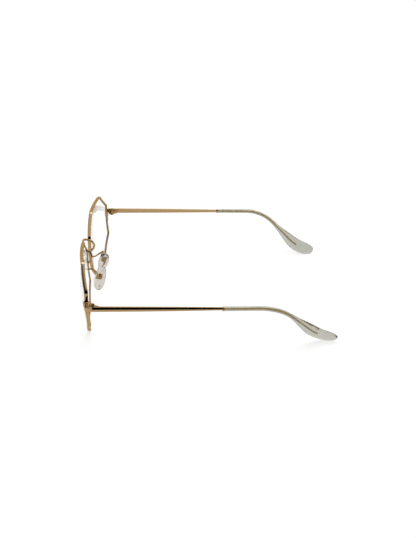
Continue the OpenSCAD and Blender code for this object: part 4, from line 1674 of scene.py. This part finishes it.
@dataclass
class Studio:
    """White floor, soft light, dark camera side and the camera of the photograph."""

    focal_px: float = 935.1
    azimuth: float = 88.66
    elevation: float = 25.92
    roll: float = 1.12
    distance_mm: float = 567.2
    aim_mm: tuple[float, float, float] = (0.0, 1.89, 16.03)
    frame_height_px: float = 538.0
    sensor_mm: float = 36.0
    clip: Span = (0.02, 50.0)
    # The room's light: as matt surfaces get it, and as the eye and the gloss see it
    room_light: Span = (0.55, 1.0)
    # The floor: half its width in metres, its grey, and its own light from near to far
    floor_half: float = 4.0
    floor_grey: float = 0.42
    floor_span: Span = (0.3, 1.6)
    floor_light: Span = (0.66, 0.78)
    # In the metal's reflections that light fades away from the glasses
    gloss_span: Span = (0.22, 0.5)
    gloss_light: Span = (1.0, 0.15)
    # Dark cards: name, azimuths, elevations and distance in metres
    cards: tuple[tuple[str, Span, Span, float], ...] = (
        ("camera_side", (35, 145), (-2, 72), 1.6),
        ("front_side", (-40, 34), (-2, 48), 1.7),
        ("back_side", (146, 220), (-2, 48), 1.7),
    )
    card_cells: tuple[int, int] = (12, 8)
    lamp_watts: float = 9.0
    lamp_size: float = 1.2
    lamp_place: tuple[float, float, float] = (-0.35, 0.1, 1.3)

    def camera(self) -> None:
        """Sets the camera at the photograph's place."""
        data = bpy.data.cameras.new("camera")
        data.lens = self.focal_px * self.sensor_mm / self.frame_height_px
        data.sensor_width = self.sensor_mm
        data.sensor_fit = "AUTO"
        data.clip_start, data.clip_end = self.clip
        back = Vector((sind(self.azimuth) * cosd(self.elevation), -cosd(self.azimuth) * cosd(self.elevation),
            sind(self.elevation)))
        camera = in_scene("camera", data)
        camera.rotation_mode = "QUATERNION"
        camera.location = (Vector(self.aim_mm) + back * self.distance_mm) * MM
        turn = (-back).to_track_quat("-Z", "Y").to_matrix() @ Matrix.Rotation(math.radians(self.roll), 3, "Z")
        camera.rotation_quaternion = turn.to_quaternion()
        bpy.context.scene.camera = camera

    def white_for_eyes(self, tree: bpy.types.NodeTree) -> bpy.types.Node:
        """Tells the rays of the eye, the gloss and the clear parts from those that light matt surfaces.

        Args:
            tree: The tree of a shader.

        Returns:
            A node that gives 1 for them and 0 for the others.
        """
        rays = add_node(tree, "ShaderNodeLightPath")
        seen = calc(tree, "ADD", rays.outputs["Is Camera Ray"], rays.outputs["Is Glossy Ray"])
        return calc(tree, "ADD", seen, rays.outputs["Is Transmission Ray"], use_clamp=True)

    def world(self) -> None:
        """Lights softly from all round; the eye and the gloss see plain white."""
        world = bpy.data.worlds.new("white_room")
        world.use_nodes = True
        tree = world.node_tree
        tree.nodes.clear()
        strength = mapped(tree, self.white_for_eyes(tree), (0.0, 1.0), self.room_light)
        sky = add_node(tree, "ShaderNodeBackground",
            {"Color": (1, 1, 1, 1), "Strength": strength.outputs["Result"]})
        add_node(tree, "ShaderNodeOutputWorld", {"Surface": sky})
        bpy.context.scene.world = world

    def floor(self) -> None:
        """Lays the white floor, which keeps the shadow of the glasses."""
        half = self.floor_half
        mesh = bpy.data.meshes.new("floor")
        mesh.from_pydata([(-half, -half, 0), (half, -half, 0), (half, half, 0), (-half, half, 0)], [],
            [(0, 1, 2, 3)])
        paint = bare_material("white_card")
        tree = paint.node_tree
        grey = self.floor_grey
        matt = add_node(tree, "ShaderNodeBsdfDiffuse", {"Color": (grey, grey, grey, 1)})
        away = add_node(tree, "ShaderNodeVectorMath",
            {0: add_node(tree, "ShaderNodeTexCoord").outputs["Object"]}, operation="LENGTH").outputs["Value"]
        near = mapped(tree, away, self.gloss_span, self.gloss_light, interpolation_type="SMOOTHSTEP")
        straight = calc(tree, "SUBTRACT", 1.0, add_node(tree, "ShaderNodeLightPath").outputs["Is Glossy Ray"])
        reach = calc(tree, "MAXIMUM", straight, near)
        level = mapped(tree, away, self.floor_span, self.floor_light)
        glow = calc(tree, "MULTIPLY", calc(tree, "MULTIPLY", self.white_for_eyes(tree), level), reach)
        light = add_node(tree, "ShaderNodeEmission", {"Strength": glow})
        both = add_node(tree, "ShaderNodeAddShader", {0: matt, 1: light})
        add_node(tree, "ShaderNodeOutputMaterial", {"Surface": both})
        mesh.materials.append(paint)
        in_scene("floor", mesh)

    def dark_card(self, name: str, azimuths: Span, elevations: Span, distance: float) -> None:
        """Hangs a bent dark card that only gloss sees, as the dark part of a studio.

        Args:
            name: Its name.
            azimuths: From and to, in degrees, 90 being the wearer's left.
            elevations: From and to, in degrees.
            distance: Its distance from the glasses in metres.
        """
        columns, rows = self.card_cells
        surface = Surface()
        for i in range(rows + 1):
            e = elevations[0] + (elevations[1] - elevations[0]) * i / rows
            for k in range(columns + 1):
                a = azimuths[0] + (azimuths[1] - azimuths[0]) * k / columns
                surface.points.append(distance * Vector((sind(a) * cosd(e), -cosd(a) * cosd(e), sind(e))))
        for i in range(rows):
            for k in range(columns):
                a = i * (columns + 1) + k
                surface.faces.append((a, a + 1, a + columns + 2, a + columns + 1))
        mesh = bpy.data.meshes.new(name)
        mesh.from_pydata(surface.points, [], surface.faces)
        dark = bare_material(name)
        black = add_node(dark.node_tree, "ShaderNodeEmission", {"Strength": 0.0})
        add_node(dark.node_tree, "ShaderNodeOutputMaterial", {"Surface": black})
        mesh.materials.append(dark)
        card = in_scene(name, mesh)
        card.visible_camera = card.visible_diffuse = card.visible_shadow = card.visible_transmission = False

    def lamp(self) -> None:
        """Hangs one square soft light overhead that faces the glasses."""
        data = bpy.data.lights.new("overhead_softbox", "AREA")
        data.energy = self.lamp_watts
        data.size = self.lamp_size
        lamp = in_scene("overhead_softbox", data)
        place = Vector(self.lamp_place)
        lamp.location = place
        lamp.rotation_mode = "QUATERNION"
        lamp.rotation_quaternion = (-place).to_track_quat("-Z", "Y")

    def build(self) -> None:
        """Sets up camera, room, floor, cards and light."""
        self.camera()
        self.world()
        self.floor()
        for card in self.cards:
            self.dark_card(*card)
        self.lamp()
        bpy.context.scene.view_settings.view_transform = "Standard"


def main() -> None:
    """Builds the glasses and their studio in order."""
    logging.basicConfig(level=logging.INFO, format="%(name)s: %(message)s")
    Studio().build()
    Front().build()
    for side in Side:
        Temple(side).build()


if __name__ == "__main__":
    main()
